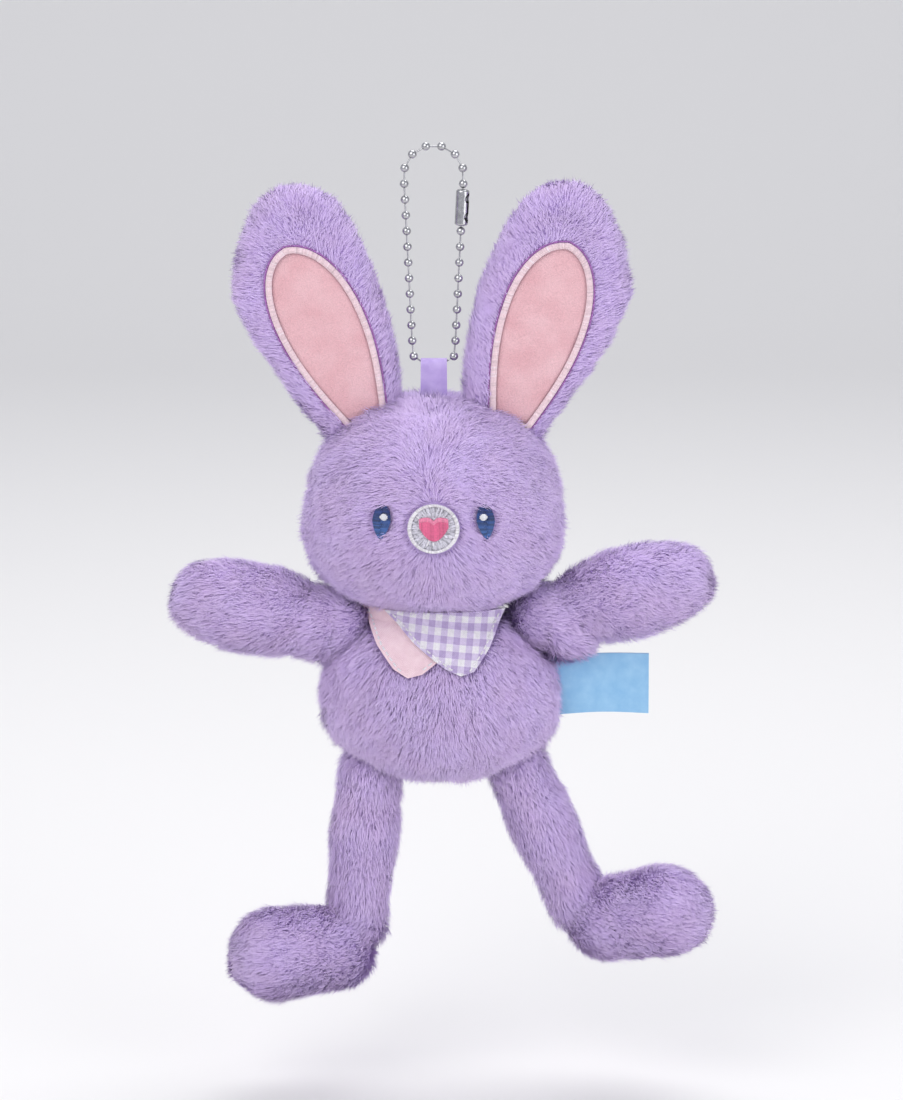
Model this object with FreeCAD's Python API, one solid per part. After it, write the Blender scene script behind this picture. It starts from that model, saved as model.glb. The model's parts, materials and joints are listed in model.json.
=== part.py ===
"""Plush bunny bag charm hanging on a ball chain, in millimetres.

The origin is the middle of the peg or hook that the chain loop hangs over. +Z is up, and the
bunny faces -Y, so its own left side is at +X. Fabric panels are closed solids as thick as the
knitted backing with the packed half of the pile. The loose pile tips stand proud of them.
Every limb has a ball-shaped root that sits in a round hollow of the piece it is sewn to.
"""

import FreeCAD
import Part
import math
import os

V = FreeCAD.Vector
X_AXIS, Y_AXIS, Z_AXIS = V(1, 0, 0), V(0, 1, 0), V(0, 0, 1)
ORIGIN = V(0, 0, 0)

# ---- fabric and fits
PANEL = 2.0  # backing and packed pile of one plush panel
FILL_GAP = 0.12  # stuffing to the inside of its cover
SEAM_GAP = 0.35  # a limb's round root to the hollow it sits in
LAYER_GAP = 0.25  # flat trim to the cloth that it lies on

# ---- ball chain
BALL_R = 1.05
BALL_WALL = 0.22
BALL_COUNT = 32
LINK_R = 0.2
LINK_HEAD_R = 0.4
LINK_HOLE_R = 0.34
PEG_R = 6.0
CHAIN_DROP = 45.1  # peg centre down to the balls inside the ribbon
CHAIN_FLAT = 1.8  # half of the chain's level run inside the ribbon
CHAIN_CORNER_R = 3.2

# ---- chain connector, a sleeve that holds the chain's two end balls
SLEEVE_LENGTH = 8.6
SLEEVE_BORE_R = 1.3
SLEEVE_WALL = 0.28
SLEEVE_SLOT = 0.9
SLEEVE_WINDOW_R = 1.12
SLEEVE_STEP = 5  # the ball after which the chain's ends meet, counted down from the peg

# ---- ribbon loop
RIBBON_WIDTH = 6.2
RIBBON_THICK = 0.35
RIBBON_BORE_R = 1.4
RIBBON_HEM_R = 0.9
RIBBON_MEET = 0.35  # half the distance between the ribbon's two legs at the hem

# ---- head
HEAD_A, HEAD_B, HEAD_C = 29.7, 22.5, 23.9  # half width, half depth, half height
HEAD_POWER = 2.35
HEAD_LEAN = 0.07  # how much fuller the cheeks are than the crown
HEAD_Z = -78.6

# ---- torso and neck
TORSO_A, TORSO_B, TORSO_C = 27.3, 17.5, 19.2
TORSO_POWER = 2.2
TORSO_LEAN = 0.05
TORSO_X = 1.6  # the body hangs a little to the bunny's left of its head
TORSO_Z = -124.1
NECK_R = 12.0
NECK_Z = -112.0

# ---- ears
EAR_BASE_X = 16.5  # where the middle of its seam lies on the head
EAR_SEAM_SLOPE = 27.0  # degrees that the seam falls outward
EAR_TILT = {"right": 20.0, "left": 18.0}  # degrees that the ear leans outward from upright
EAR_LENGTH = 53.5
EAR_HALF_WIDTH = 12.6
EAR_BASE_HALF_WIDTH = 9.2
EAR_THICK = 6.0
EAR_ROUNDING = 0.85  # share of half its thickness that the edge is rounded by
EAR_PANEL = 1.6
EAR_RISE = 2.6  # the hinge line's height over the head's skin

# ---- ear lining
LINING_BASE = 3.6
LINING_TIP = 43.5
LINING_HALF_WIDTH = 8.4
LINING_BASE_HALF_WIDTH = 5.2
LINING_THICK = 0.8
BORDER_WIDTH = 1.2
BORDER_THICK = 1.1

# ---- arms
ARM_PIVOT = (24.6, -0.5, -109.0)  # from the body's middle to the left one, and the right is mirrored
ARM_RISE = {"right": 9.0, "left": 11.0}
ARM_ROOT_R = 7.4
ARM_HAND_R = 9.7
ARM_LENGTH = 40.0
ARM_PANEL = 1.8
ROOT_WRAP = 35.0  # degrees past its equator that a limb's round root goes on

# ---- legs
LEG_PIVOT_X = {"right": 17.2, "left": 18.9}
LEG_PIVOT_Y = -1.0
LEG_SPLAY = {"right": 7.0, "left": 24.0}
LEG_DROP = 5.2  # hip pivot below the torso's skin
LEG_ROOT_R = 6.6
LEG_THIGH_R = 7.1
LEG_R = 6.3
LEG_ANKLE = 36.0  # hip pivot to the middle of the leg's round lower end
LEG_LENGTH = 42.5  # hip pivot to the level of the heel
HEEL_OUT = 5.5  # middle of the heel outward of the leg's own line
HEEL_R = 8.7
TOE_R = 9.6
FOOT_LENGTH = 15.3  # middle of the heel to the middle of the toes
FOOT_DROP = 5.0  # degrees that the toes point below square to the leg
FOOT_TURN = 22.0  # degrees that the feet turn towards the front

# ---- face
PATCH_GAP = 0.05  # embroidery to the panel or the patch that it is sewn on
MUZZLE_HALF = (6.0, 5.7)
MUZZLE_THICK = 1.3
MUZZLE_Z = HEAD_Z - 1.5
NOSE_HALF_WIDTH = 3.5
NOSE_HEIGHT = 5.8
NOSE_THICK = 0.5
EYE_X, EYE_Z = 12.2, HEAD_Z - 0.1
EYE_HALF = (2.1, 4.0)
EYE_THICK = 1.0
GLINT_HALF = (0.65, 1.05)
GLINT_THICK = 0.35
GLINT_SHIFT = (0.4, 0.9)  # from the eye's middle, towards the nose and up

# ---- neckerchief
SCARF_THICK = 0.5
BAND_THICK = 0.9
BAND_TOP, BAND_LOW = -104.0, -105.6
DRAPE_C = 21.5  # half height and power of the rounder shape that the cloth takes over the chest
DRAPE_POWER = 2.6
# x and z round the free edge of each flap, from one end of the neck's seam to the other
PLAIN_FLAP = (
    (-17.0, -103.0), (-13.6, -110.2), (-9.6, -115.4), (-6.2, -117.4), (-2.8, -116.4), (2.0, -112.6), (6.0, -103.6)
)
CHECK_FLAP = (
    (-12.0, -102.4), (-4.6, -109.4), (2.6, -114.9), (6.4, -116.6), (9.6, -115.6), (13.2, -110.6), (16.6, -103.4)
)

# ---- side label
LABEL_LENGTH = 21.0
LABEL_HEIGHT = 14.5
LABEL_PLY = 0.25
LABEL_SPREAD = 0.35  # between its two plies
LABEL_Z = -123.3

PROFILE_POINTS = 11  # points on a rounded body's half section


def placed(shape, at=ORIGIN, turns=()):
    """A copy of shape turned about the origin, first turn first, and then moved to at."""
    made = shape.copy()
    for axis, angle in turns:
        made.rotate(ORIGIN, axis, angle)
    made.translate(at)
    return made


def revolved(edges):
    """The solid that a half section in the XZ plane makes about the Z axis."""
    closing = Part.LineSegment(edges[-1].Vertexes[-1].Point, edges[0].Vertexes[0].Point).toShape()
    section = Part.Face(Part.Wire(edges + [closing]))
    return Part.Solid(section.revolve(ORIGIN, Z_AXIS, 360))


def smooth(points, start=None, end=None, closed=False):
    """A spline edge through points, with end directions where they are given."""
    curve = Part.BSplineCurve()
    if start is None:
        curve.interpolate(points, PeriodicFlag=closed)
    else:
        curve.interpolate(points, InitialTangent=start, FinalTangent=end)
    return curve.toShape()


def blob(a, b, c, power, lean, grow=0.0):
    """A rounded body: a superellipse turned about Z, fuller below than above, and flattened in Y."""
    a, b, c = a + grow, b + grow, c + grow
    angles = [math.pi * (i / (PROFILE_POINTS - 1) - 0.5) for i in range(PROFILE_POINTS)]
    points = []
    for angle in angles:
        across, up = math.cos(angle), math.sin(angle)
        r = a * abs(across) ** (2 / power) * (1 - lean * up)
        z = c * math.copysign(abs(up) ** (2 / power), up)
        points.append(V(max(r, 0.0), 0, z))
    points[0].x = points[-1].x = 0.0
    body = revolved([smooth(points, X_AXIS, X_AXIS * -1)])
    squeeze = FreeCAD.Matrix()
    squeeze.scale(1.0, b / a, 1.0)
    return body.transformGeometry(squeeze)


def ball(radius, at):
    return Part.makeSphere(radius, at)


def bar(radius, start, end):
    """A round bar from one point to another."""
    along = end - start
    return Part.makeCylinder(radius, along.Length, start, along)


def half_space(side, at=ORIGIN, turns=()):
    """A big box on the -Y or the +Y side of a plane through at."""
    size = 300.0
    low = 0.0 if side > 0 else -size
    return placed(Part.makeBox(size, size, size, V(-size / 2, low, -size / 2)), at, turns)


def on_side(sign, x, y, z):
    """A point of the left side, or its mirror image on the right."""
    return V(sign * x, y, z)


def plate(outline, y_from, y_to):
    """A closed outline in the XZ plane, thick from y_from to y_to."""
    face = Part.Face(Part.Wire(outline) if isinstance(outline, list) else outline)
    face.translate(V(0, y_from, 0))
    return face.extrude(V(0, y_to - y_from, 0))


def oval(half_width, half_height, x, z):
    """A closed oval in the XZ plane."""
    high, low = max(half_width, half_height), min(half_width, half_height)
    turn = 90 if half_height > half_width else 0
    edge = Part.Ellipse(ORIGIN, high, low).toShape() if high > low else Part.Circle(ORIGIN, Z_AXIS, high).toShape()
    edge.rotate(ORIGIN, Z_AXIS, turn)
    edge.rotate(ORIGIN, X_AXIS, 90)
    edge.translate(V(x, 0, z))
    return Part.Wire([edge])


def save(name, *solids):
    """Writes one sub-part, as one solid or a group of separate ones."""
    found = [s for shape in solids for s in shape.Solids]
    if not found or not all(s.isValid() for s in found):
        raise ValueError(f"{name} has no solid or one that isn't valid")
    shape = found[0] if len(found) == 1 else Part.makeCompound(found)
    shape.exportStep(f"parts/{name}.step")
    print(f"{name}: {len(found)} solids, {sum(s.Volume for s in found):.1f} mm3")


# ---------------------------------------------------------------- ball chain


def chain_path():
    """(point at a distance along the closed path, the path's length), starting at its lowest middle point."""
    low, high = V(CHAIN_FLAT, 0, -CHAIN_DROP + CHAIN_CORNER_R), ORIGIN
    top_r = PEG_R + BALL_R
    between = high - low
    lean = math.atan2(between.z, between.x) - math.asin((top_r - CHAIN_CORNER_R) / between.Length)
    straight = between.Length * math.cos(math.asin((top_r - CHAIN_CORNER_R) / between.Length))
    turn = lean  # the run leaves the corner at this direction, having started level
    pieces = [CHAIN_FLAT, CHAIN_CORNER_R * turn, straight, top_r * (math.pi - turn)]
    half = sum(pieces)

    def right_half(s):
        if s <= pieces[0]:
            return V(s, 0, -CHAIN_DROP)
        s -= pieces[0]
        if s <= pieces[1]:
            angle = s / CHAIN_CORNER_R
            return low + V(math.sin(angle), 0, -math.cos(angle)) * CHAIN_CORNER_R
        s -= pieces[1]
        leave = low + V(math.sin(turn), 0, -math.cos(turn)) * CHAIN_CORNER_R
        if s <= pieces[2]:
            return leave + V(math.cos(turn), 0, math.sin(turn)) * s
        angle = turn + (s - pieces[2]) / top_r
        return V(math.sin(angle), 0, -math.cos(angle)) * top_r

    def point(s):
        s %= 2 * half
        if s <= half:
            return right_half(s)
        mirrored = right_half(2 * half - s)
        return V(-mirrored.x, 0, mirrored.z)

    return point, 2 * half


def make_chain():
    """Hollow balls with a pinned link between each pair, apart from the pair inside the connector."""
    point, length = chain_path()
    pitch = length / BALL_COUNT
    centres = [point((i + 0.5) * pitch) for i in range(BALL_COUNT)]
    top = BALL_COUNT // 2
    free_end = top - SLEEVE_STEP
    hollow_r = BALL_R - BALL_WALL
    balls, links = [], []
    for i, centre in enumerate(centres):
        shell = ball(BALL_R, centre).cut(ball(hollow_r, centre))
        for other, linked in ((i - 1, i != free_end), (i + 1, i != free_end - 1)):
            if linked:
                towards = centres[other % BALL_COUNT] - centre
                towards.normalize()
                shell = shell.cut(bar(LINK_HOLE_R, centre, centre + towards * BALL_R * 1.5))
        balls.append(shell)
        if i != free_end - 1:
            nearer = centres[(i + 1) % BALL_COUNT] - centre
            nearer.normalize()
            start = centre + nearer * LINK_HEAD_R
            end = centres[(i + 1) % BALL_COUNT] - nearer * LINK_HEAD_R
            heads = [ball(LINK_HEAD_R, start), ball(LINK_HEAD_R, end)]
            stem = bar(LINK_R, start, end)
            # Two links meet in one ball, so each head is cut back to its own half of the ball.
            for k, (head, facing) in enumerate(zip(heads, (nearer, nearer * -1))):
                at = start if k == 0 else end
                keep = Part.makeCylinder(LINK_HEAD_R * 1.5, LINK_HEAD_R, at - facing * (LINK_HEAD_R * 0.35), facing)
                heads[k] = head.common(keep)
            links.append(stem.fuse(heads))
    save("chain_balls", *balls)
    save("chain_links", *links)
    ends = centres[free_end - 1], centres[free_end]
    print(f"chain length {length:.1f}, pitch {pitch:.3f}")
    return (ends[0] + ends[1]) * 0.5, ends[1] - ends[0]


def make_connector(middle, along):
    """A pressed sleeve with closed ends, an open slot down one side and a window for each end ball."""
    outer = SLEEVE_BORE_R + SLEEVE_WALL
    half = SLEEVE_LENGTH / 2
    tube = Part.makeCylinder(outer, SLEEVE_LENGTH, V(0, 0, -half))
    tube = tube.makeFillet(0.6, [e for e in tube.Edges if len(e.Vertexes) == 1 or e.Closed])
    bore = Part.makeCylinder(SLEEVE_BORE_R, SLEEVE_LENGTH - 2 * SLEEVE_WALL, V(0, 0, -half + SLEEVE_WALL))
    eyes = Part.makeCylinder(LINK_HOLE_R + 0.1, SLEEVE_LENGTH + 2, V(0, 0, -half - 1))
    slot = Part.makeBox(outer * 2, SLEEVE_SLOT, SLEEVE_LENGTH - 1.6, V(0, -SLEEVE_SLOT / 2, -half + 0.8))
    windows = [
        Part.makeCylinder(SLEEVE_WINDOW_R, outer * 2, V(0, 0, z), X_AXIS)
        for z in (-half * 0.5, half * 0.5)
    ]
    sleeve = tube.cut([bore, eyes, slot] + windows)
    # The windows face the bunny's left and a little forwards.
    sleeve.rotate(ORIGIN, Z_AXIS, -25)
    sleeve.Placement = FreeCAD.Placement(middle, FreeCAD.Rotation(Z_AXIS, along)).multiply(sleeve.Placement)
    save("chain_connector", sleeve)


# ---------------------------------------------------------------- ribbon loop


def ribbon_hem_z():
    return HEAD_Z + HEAD_C + 0.3


def make_ribbon():
    """A ribbon folded over the chain, with its two ends in a rolled hem at the head's seam."""
    hem = ribbon_hem_z() + CHAIN_DROP  # relative to the chain's lowest balls
    wide = RIBBON_WIDTH

    def loop(radius, meet, foot):
        arc = Part.Arc(V(0, -radius, 0), V(0, 0, radius), V(0, radius, 0)).toShape()
        down = Part.LineSegment(V(0, radius, 0), V(0, meet, foot)).toShape()
        across = Part.LineSegment(V(0, meet, foot), V(0, -meet, foot)).toShape()
        back = Part.LineSegment(V(0, -meet, foot), V(0, -radius, 0)).toShape()
        face = Part.Face(Part.Wire([arc, down, across, back]))
        return face.extrude(V(wide, 0, 0))

    outer = loop(RIBBON_BORE_R + RIBBON_THICK, RIBBON_MEET + RIBBON_THICK, hem)
    inner = loop(RIBBON_BORE_R, RIBBON_MEET, hem + RIBBON_HEM_R * 0.7)
    roll = Part.makeCylinder(RIBBON_HEM_R, wide, V(0, 0, hem), X_AXIS)
    ribbon = outer.cut(inner).fuse(roll).removeSplitter()
    save("ribbon_loop", placed(ribbon, V(-wide / 2, 0, -CHAIN_DROP)))


# ---------------------------------------------------------------- ears


def ear_lean(side):
    """How far the ear leans inward from square to its seam, as a slope."""
    return math.tan(math.radians(EAR_SEAM_SLOPE - EAR_TILT[side]))


def ear_outline(side, sign, half_width, base_half_width, low, high):
    """A closed ear shape in the XZ plane, widest past its middle, with a straight base."""
    span = high - low
    right = [
        (base_half_width * 0.9, low),
        (base_half_width, low + span * 0.07),
        (half_width * 0.94, low + span * 0.33),
        (half_width, low + span * 0.58),
        (half_width * 0.87, low + span * 0.81),
        (half_width * 0.53, low + span * 0.95),
    ]
    rim = right + [(0.0, high)] + [(-x, z) for x, z in reversed(right)]
    points = [V(x - sign * z * ear_lean(side), 0, z) for x, z in rim]
    edge = smooth(points, points[1] - points[0], points[-1] - points[-2])
    return Part.Wire([edge, Part.LineSegment(points[-1], points[0]).toShape()])


def ear_pad(side, sign, inset):
    """The ear's rounded body, or its padding with inset the thickness of a panel."""
    half = EAR_THICK / 2 - inset
    outline = ear_outline(
        side, sign, EAR_HALF_WIDTH - inset, EAR_BASE_HALF_WIDTH - inset, -half, EAR_LENGTH - inset
    )
    body = plate(outline, -half, half)
    return body.makeFillet(half * EAR_ROUNDING, [e for e in body.Edges if is_rim(e)])


def is_rim(edge):
    """Whether an edge lies in one flat face of a plate that is thick along Y."""
    box = edge.BoundBox
    return box.YLength < 1e-6


def head_slope_point(x):
    """(point on the head's skin above the XZ plane's x, the skin's outward direction there)."""
    wide = HEAD_A * (1 - HEAD_LEAN * 0.85)
    up = (1 - (x / wide) ** HEAD_POWER) ** (1 / HEAD_POWER)
    normal = V((x / wide) ** (HEAD_POWER - 1) / wide, 0, up ** (HEAD_POWER - 1) / HEAD_C)
    return V(x, 0, HEAD_Z + HEAD_C * up), normal.normalize()


def ear_seat(sign):
    """The middle of an ear's hinge line, just above the head's skin."""
    point, normal = head_slope_point(EAR_BASE_X)
    seat = point + normal * EAR_RISE
    return on_side(sign, seat.x, seat.y, seat.z)


def ear_turns(sign):
    return ((Y_AXIS, sign * EAR_SEAM_SLOPE),)


def make_ear(side, sign):
    """Front and back panels round a thin pad, with a sewn-on lining and its satin-stitch border."""
    seat, turns = ear_seat(sign), ear_turns(sign)
    cover = ear_pad(side, sign, 0.0).cut(ear_pad(side, sign, EAR_PANEL))
    front = -EAR_THICK / 2

    def lining_shape(grow):
        half_width, base = LINING_HALF_WIDTH + grow, LINING_BASE_HALF_WIDTH + grow
        return ear_outline(side, sign, half_width, base, LINING_BASE - grow, LINING_TIP + grow)

    lining = plate(lining_shape(-BORDER_WIDTH / 2), front - LINING_THICK, front)
    ring = plate(lining_shape(BORDER_WIDTH / 2), front - BORDER_THICK, front)
    ring_hole = plate(lining_shape(PATCH_GAP - BORDER_WIDTH / 2), front - BORDER_THICK - 1, front + 1)
    pieces = {
        "front_panel": cover.common(half_space(-1)),
        "back_panel": cover.common(half_space(1)),
        "padding": ear_pad(side, sign, EAR_PANEL + FILL_GAP),
        "lining": lining,
        "lining_border": ring.cut(ring_hole),
    }
    for name, shape in pieces.items():
        save(f"{side}_ear_{name}", placed(shape, seat, turns))


def ear_groove(sign):
    """What the ear's rounded base needs clear in the head."""
    half = EAR_BASE_HALF_WIDTH + 3
    groove = Part.makeCylinder(EAR_THICK / 2 + SEAM_GAP, 2 * half, V(-half, 0, 0), X_AXIS)
    return placed(groove, ear_seat(sign), ear_turns(sign))


# ---------------------------------------------------------------- head


def head_body(grow=0.0):
    return placed(blob(HEAD_A, HEAD_B, HEAD_C, HEAD_POWER, HEAD_LEAN, grow), V(0, 0, HEAD_Z))


def layer(body_at, low, high, prism):
    """The part of a prism that lies between two sizes of a body: trim that follows its surface."""
    return prism.common(body_at(high)).cut(body_at(low))


def heart_outline(half_width, height, z):
    """A heart in the XZ plane: two round lobes and a point."""
    lobe = half_width * 0.54
    shoulder = V(half_width - lobe, 0, z + height * 0.22)
    tip, dip = V(0, 0, z - height * 0.52), V(0, 0, z + height * 0.30)
    right = Part.Arc(
        dip, shoulder + V(lobe * 0.35, 0, lobe * 0.94), shoulder + V(lobe, 0, -lobe * 0.25)
    ).toShape()
    left = Part.Arc(
        dip, V(-shoulder.x - lobe * 0.35, 0, shoulder.z + lobe * 0.94), V(-shoulder.x - lobe, 0, shoulder.z - lobe * 0.25)
    ).toShape()
    flank = V(half_width * 0.55, 0, z - height * 0.26)
    right_flank = Part.Arc(right.Vertexes[-1].Point, flank, tip).toShape()
    left_flank = Part.Arc(left.Vertexes[-1].Point, V(-flank.x, 0, flank.z), tip).toShape()
    return Part.Wire(Part.__sortEdges__([right, right_flank, left_flank, left]))


def neck_ball(grow=0.0):
    return ball(NECK_R + grow, V(TORSO_X, 0, NECK_Z))


def make_head():
    """Front and back panels over one filling."""
    slot = RIBBON_WIDTH + 2 * SEAM_GAP
    hem_hollow = Part.makeCylinder(RIBBON_HEM_R + SEAM_GAP, slot, V(-slot / 2, 0, ribbon_hem_z()), X_AXIS)
    cuts = [ear_groove(sign) for _, sign in SIDES] + [neck_ball(SEAM_GAP), hem_hollow]
    cover = head_body().cut(head_body(-PANEL)).cut(cuts)
    save("head_front_panel", cover.common(half_space(-1)))
    save("head_back_panel", cover.common(half_space(1)))
    save("head_stuffing", head_body(-PANEL - FILL_GAP).cut(cuts))


def face_layer(outline, low, thick):
    """Embroidery of an outline on the front of the face."""
    return layer(head_body, low, low + thick, plate(outline, -2 * HEAD_B, 0))


def make_face():
    """A round muzzle patch with a heart nose, and two eyes with a glint each."""
    over_muzzle = PATCH_GAP * 2 + MUZZLE_THICK
    over_eye = PATCH_GAP * 2 + EYE_THICK
    save("muzzle_patch", face_layer(oval(*MUZZLE_HALF, 0, MUZZLE_Z), PATCH_GAP, MUZZLE_THICK))
    nose = heart_outline(NOSE_HALF_WIDTH, NOSE_HEIGHT, MUZZLE_Z)
    save("heart_nose", face_layer(nose, over_muzzle, NOSE_THICK))
    for side, sign in SIDES:
        save(f"{side}_eye", face_layer(oval(*EYE_HALF, sign * EYE_X, EYE_Z), PATCH_GAP, EYE_THICK))
        glint = oval(*GLINT_HALF, sign * (EYE_X - GLINT_SHIFT[0]), EYE_Z + GLINT_SHIFT[1])
        save(f"{side}_eye_glint", face_layer(glint, over_eye, GLINT_THICK))


# ---------------------------------------------------------------- torso


def torso_body(grow=0.0):
    trunk = blob(TORSO_A, TORSO_B, TORSO_C, TORSO_POWER, TORSO_LEAN, grow)
    return placed(trunk, V(TORSO_X, 0, TORSO_Z))


def leg_pivot(side, sign):
    """A point a little below the torso's underside."""
    x = LEG_PIVOT_X[side]
    down = (1 - (x / (TORSO_A * (1 + TORSO_LEAN * 0.8))) ** TORSO_POWER) ** (1 / TORSO_POWER)
    return V(TORSO_X + sign * x, LEG_PIVOT_Y, TORSO_Z - TORSO_C * down - LEG_DROP)


def arm_pivot(sign):
    x, y, z = ARM_PIVOT
    return V(TORSO_X + sign * x, y, z)


def make_torso():
    """Front and back panels over one filling, and the stuffed neck that the head turns on."""
    cuts = [ball(ARM_ROOT_R + SEAM_GAP, arm_pivot(sign)) for _, sign in SIDES]
    cuts += [ball(LEG_ROOT_R + SEAM_GAP, leg_pivot(side, sign)) for side, sign in SIDES]
    cuts.append(neck_ball(FILL_GAP))
    cover = torso_body().cut(torso_body(-PANEL)).cut(cuts)
    save("torso_front_panel", cover.common(half_space(-1)))
    save("torso_back_panel", cover.common(half_space(1)))
    save("torso_stuffing", torso_body(-PANEL - FILL_GAP).cut(cuts))
    save("neck_plug", neck_ball())


# ---------------------------------------------------------------- neckerchief


def flap_outline(points):
    """A flap whose first and last points are its corners at the neck."""
    spots = [V(x, 0, z) for x, z in points]
    edge = smooth(spots, spots[1] - spots[0], spots[-1] - spots[-2])
    return Part.Wire([edge, Part.LineSegment(spots[-1], spots[0]).toShape()])


def scarf_drape(grow=0.0):
    """The surface that the flaps take, standing off the hollow under the chin."""
    shape = blob(TORSO_A, TORSO_B, DRAPE_C, DRAPE_POWER, TORSO_LEAN, grow)
    return placed(shape, V(TORSO_X, 0, TORSO_Z))


def make_scarf():
    """Two overlapping flaps on the chest, each one ply, sewn under a band round the neck."""
    zone = Part.makeBox(4 * NECK_R, 4 * NECK_R, BAND_TOP - BAND_LOW, V(-2 * NECK_R, -2 * NECK_R, BAND_LOW))
    save("scarf_neck_band", layer(neck_ball, LAYER_GAP, LAYER_GAP + BAND_THICK, zone))
    below = Part.makeBox(200, 100, 100, V(-100, -100, BAND_LOW - LAYER_GAP - 100))
    low = 0.0
    for name, corners in (("plain", PLAIN_FLAP), ("check", CHECK_FLAP)):
        prism = plate(flap_outline(corners), -2 * TORSO_B, -3).common(below)
        save(f"scarf_{name}_flap", layer(scarf_drape, low, low + SCARF_THICK, prism))
        low += SCARF_THICK + LAYER_GAP


# ---------------------------------------------------------------- side label


def make_label():
    """A strip folded at its outer end, with both ends in the torso's side seam."""
    gap, ply = LABEL_SPREAD / 2, LABEL_PLY
    root = TORSO_X + TORSO_A + SEAM_GAP
    tip = root + LABEL_LENGTH
    outer = Part.makeBox(LABEL_LENGTH, 2 * (gap + ply), LABEL_HEIGHT, V(root, -gap - ply, LABEL_Z - LABEL_HEIGHT / 2))
    inner = Part.makeBox(
        LABEL_LENGTH - ply * 2, 2 * gap, LABEL_HEIGHT + 2, V(root + ply, -gap, LABEL_Z - LABEL_HEIGHT / 2 - 1)
    )
    end_edges = [e for e in outer.Edges if abs(e.Vertexes[0].X - tip) < 1e-6 and abs(e.Vertexes[1].X - tip) < 1e-6]
    upright = [e for e in end_edges if abs(e.Vertexes[0].Y - e.Vertexes[1].Y) < 1e-6]
    save("side_label", outer.makeFillet(ply * 0.9, upright).cut(inner))


# ---------------------------------------------------------------- arms and legs


def root_arc(radius):
    """The half section of a limb's round root, from its pole at -Z to past its equator."""
    wrap = math.radians(ROOT_WRAP)
    middle = (wrap - math.pi / 2) / 2

    def at(angle):
        return V(radius * math.cos(angle), 0, radius * math.sin(angle))

    return Part.Arc(at(-math.pi / 2), at(middle), at(wrap)).toShape(), at(wrap)


def arm_shape(inset):
    """An arm turned about Z, up from its round root at the origin to a fuller rounded hand."""
    far = ARM_HAND_R - inset
    root, waist = root_arc(ARM_ROOT_R - inset)
    widest, reach = ARM_LENGTH - ARM_HAND_R * 1.05, ARM_LENGTH - inset
    side = [
        waist,
        V(ARM_HAND_R * 0.9 - inset, 0, ARM_LENGTH * 0.27),
        V(far, 0, widest),
        V(far * 0.72, 0, widest + (reach - widest) * 0.7),
        V(0, 0, reach),
    ]
    return revolved([root, smooth(side, V(0.35, 0, 1), X_AXIS * -1)])


def make_arm(side, sign):
    """Two panels, with their seam along the top and bottom edge, over one filling."""
    turns, pivot = ((Y_AXIS, sign * (90 - ARM_RISE[side])),), arm_pivot(sign)
    cover = arm_shape(0.0).cut(arm_shape(ARM_PANEL))
    save(f"{side}_arm_front_panel", placed(cover.common(half_space(-1)), pivot, turns))
    save(f"{side}_arm_back_panel", placed(cover.common(half_space(1)), pivot, turns))
    save(f"{side}_arm_stuffing", placed(arm_shape(ARM_PANEL + FILL_GAP), pivot, turns))


def foot_shape(inset):
    """A heel ball, a toe ball and the flank that touches both, turned about the line through them."""
    back, tip = HEEL_R - inset, TOE_R - inset
    slope = math.asin((tip - back) / FOOT_LENGTH)

    def at(radius, middle, angle):
        return V(radius * math.cos(angle), 0, middle + radius * math.sin(angle))

    bottom, top = -math.pi / 2, math.pi / 2
    heel = Part.Arc(at(back, 0, bottom), at(back, 0, (bottom - slope) / 2), at(back, 0, -slope)).toShape()
    toes = Part.Arc(
        at(tip, FOOT_LENGTH, -slope), at(tip, FOOT_LENGTH, (top - slope) / 2), at(tip, FOOT_LENGTH, top)
    ).toShape()
    flank = Part.LineSegment(heel.Vertexes[-1].Point, toes.Vertexes[0].Point).toShape()
    return placed(
        revolved([heel, flank, toes]), V(HEEL_OUT, 0, -LEG_LENGTH), ((Y_AXIS, 90 + FOOT_DROP),)
    )


def leg_shape(inset):
    """A straight round-ended leg down from its round root, with a foot that points to +X."""
    tube = LEG_R - inset
    root, waist = root_arc(LEG_ROOT_R - inset)
    thigh = V(LEG_THIGH_R - inset, 0, LEG_THIGH_R * 1.4)
    side = smooth([waist, thigh, V(tube, 0, LEG_ANKLE * 0.7), V(tube, 0, LEG_ANKLE)], V(0.5, 0, 1), Z_AXIS)
    end = Part.Arc(
        V(tube, 0, LEG_ANKLE),
        V(tube * math.sqrt(0.5), 0, LEG_ANKLE + tube * math.sqrt(0.5)),
        V(0, 0, LEG_ANKLE + tube),
    ).toShape()
    shank = placed(revolved([root, side, end]), ORIGIN, ((X_AXIS, 180),))
    return shank.fuse(foot_shape(inset))


def make_leg(side, sign):
    """An inner and an outer panel, with their seam down the front and back, over one filling."""
    flip = 0 if sign > 0 else 180
    turns = ((Z_AXIS, flip), (Z_AXIS, -sign * FOOT_TURN), (Y_AXIS, -sign * LEG_SPLAY[side]))
    pivot = leg_pivot(side, sign)
    cover = leg_shape(0.0).cut(leg_shape(PANEL))
    front = -sign  # the flipped leg has its front panel on the other half
    save(f"{side}_leg_front_panel", placed(cover.common(half_space(front * sign)), pivot, turns))
    save(f"{side}_leg_back_panel", placed(cover.common(half_space(-front * sign)), pivot, turns))
    save(f"{side}_leg_stuffing", placed(leg_shape(PANEL + FILL_GAP), pivot, turns))


SIDES = (("left", 1), ("right", -1))


def main():
    os.makedirs("parts", exist_ok=True)
    make_connector(*make_chain())
    make_ribbon()
    make_head()
    make_face()
    make_torso()
    make_scarf()
    make_label()
    for side, sign in SIDES:
        make_ear(side, sign)
        make_arm(side, sign)
        make_leg(side, sign)
        print(f"{side}: ear {ear_seat(sign)}, arm {arm_pivot(sign)}, leg {leg_pivot(side, sign)}")


main()
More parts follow.
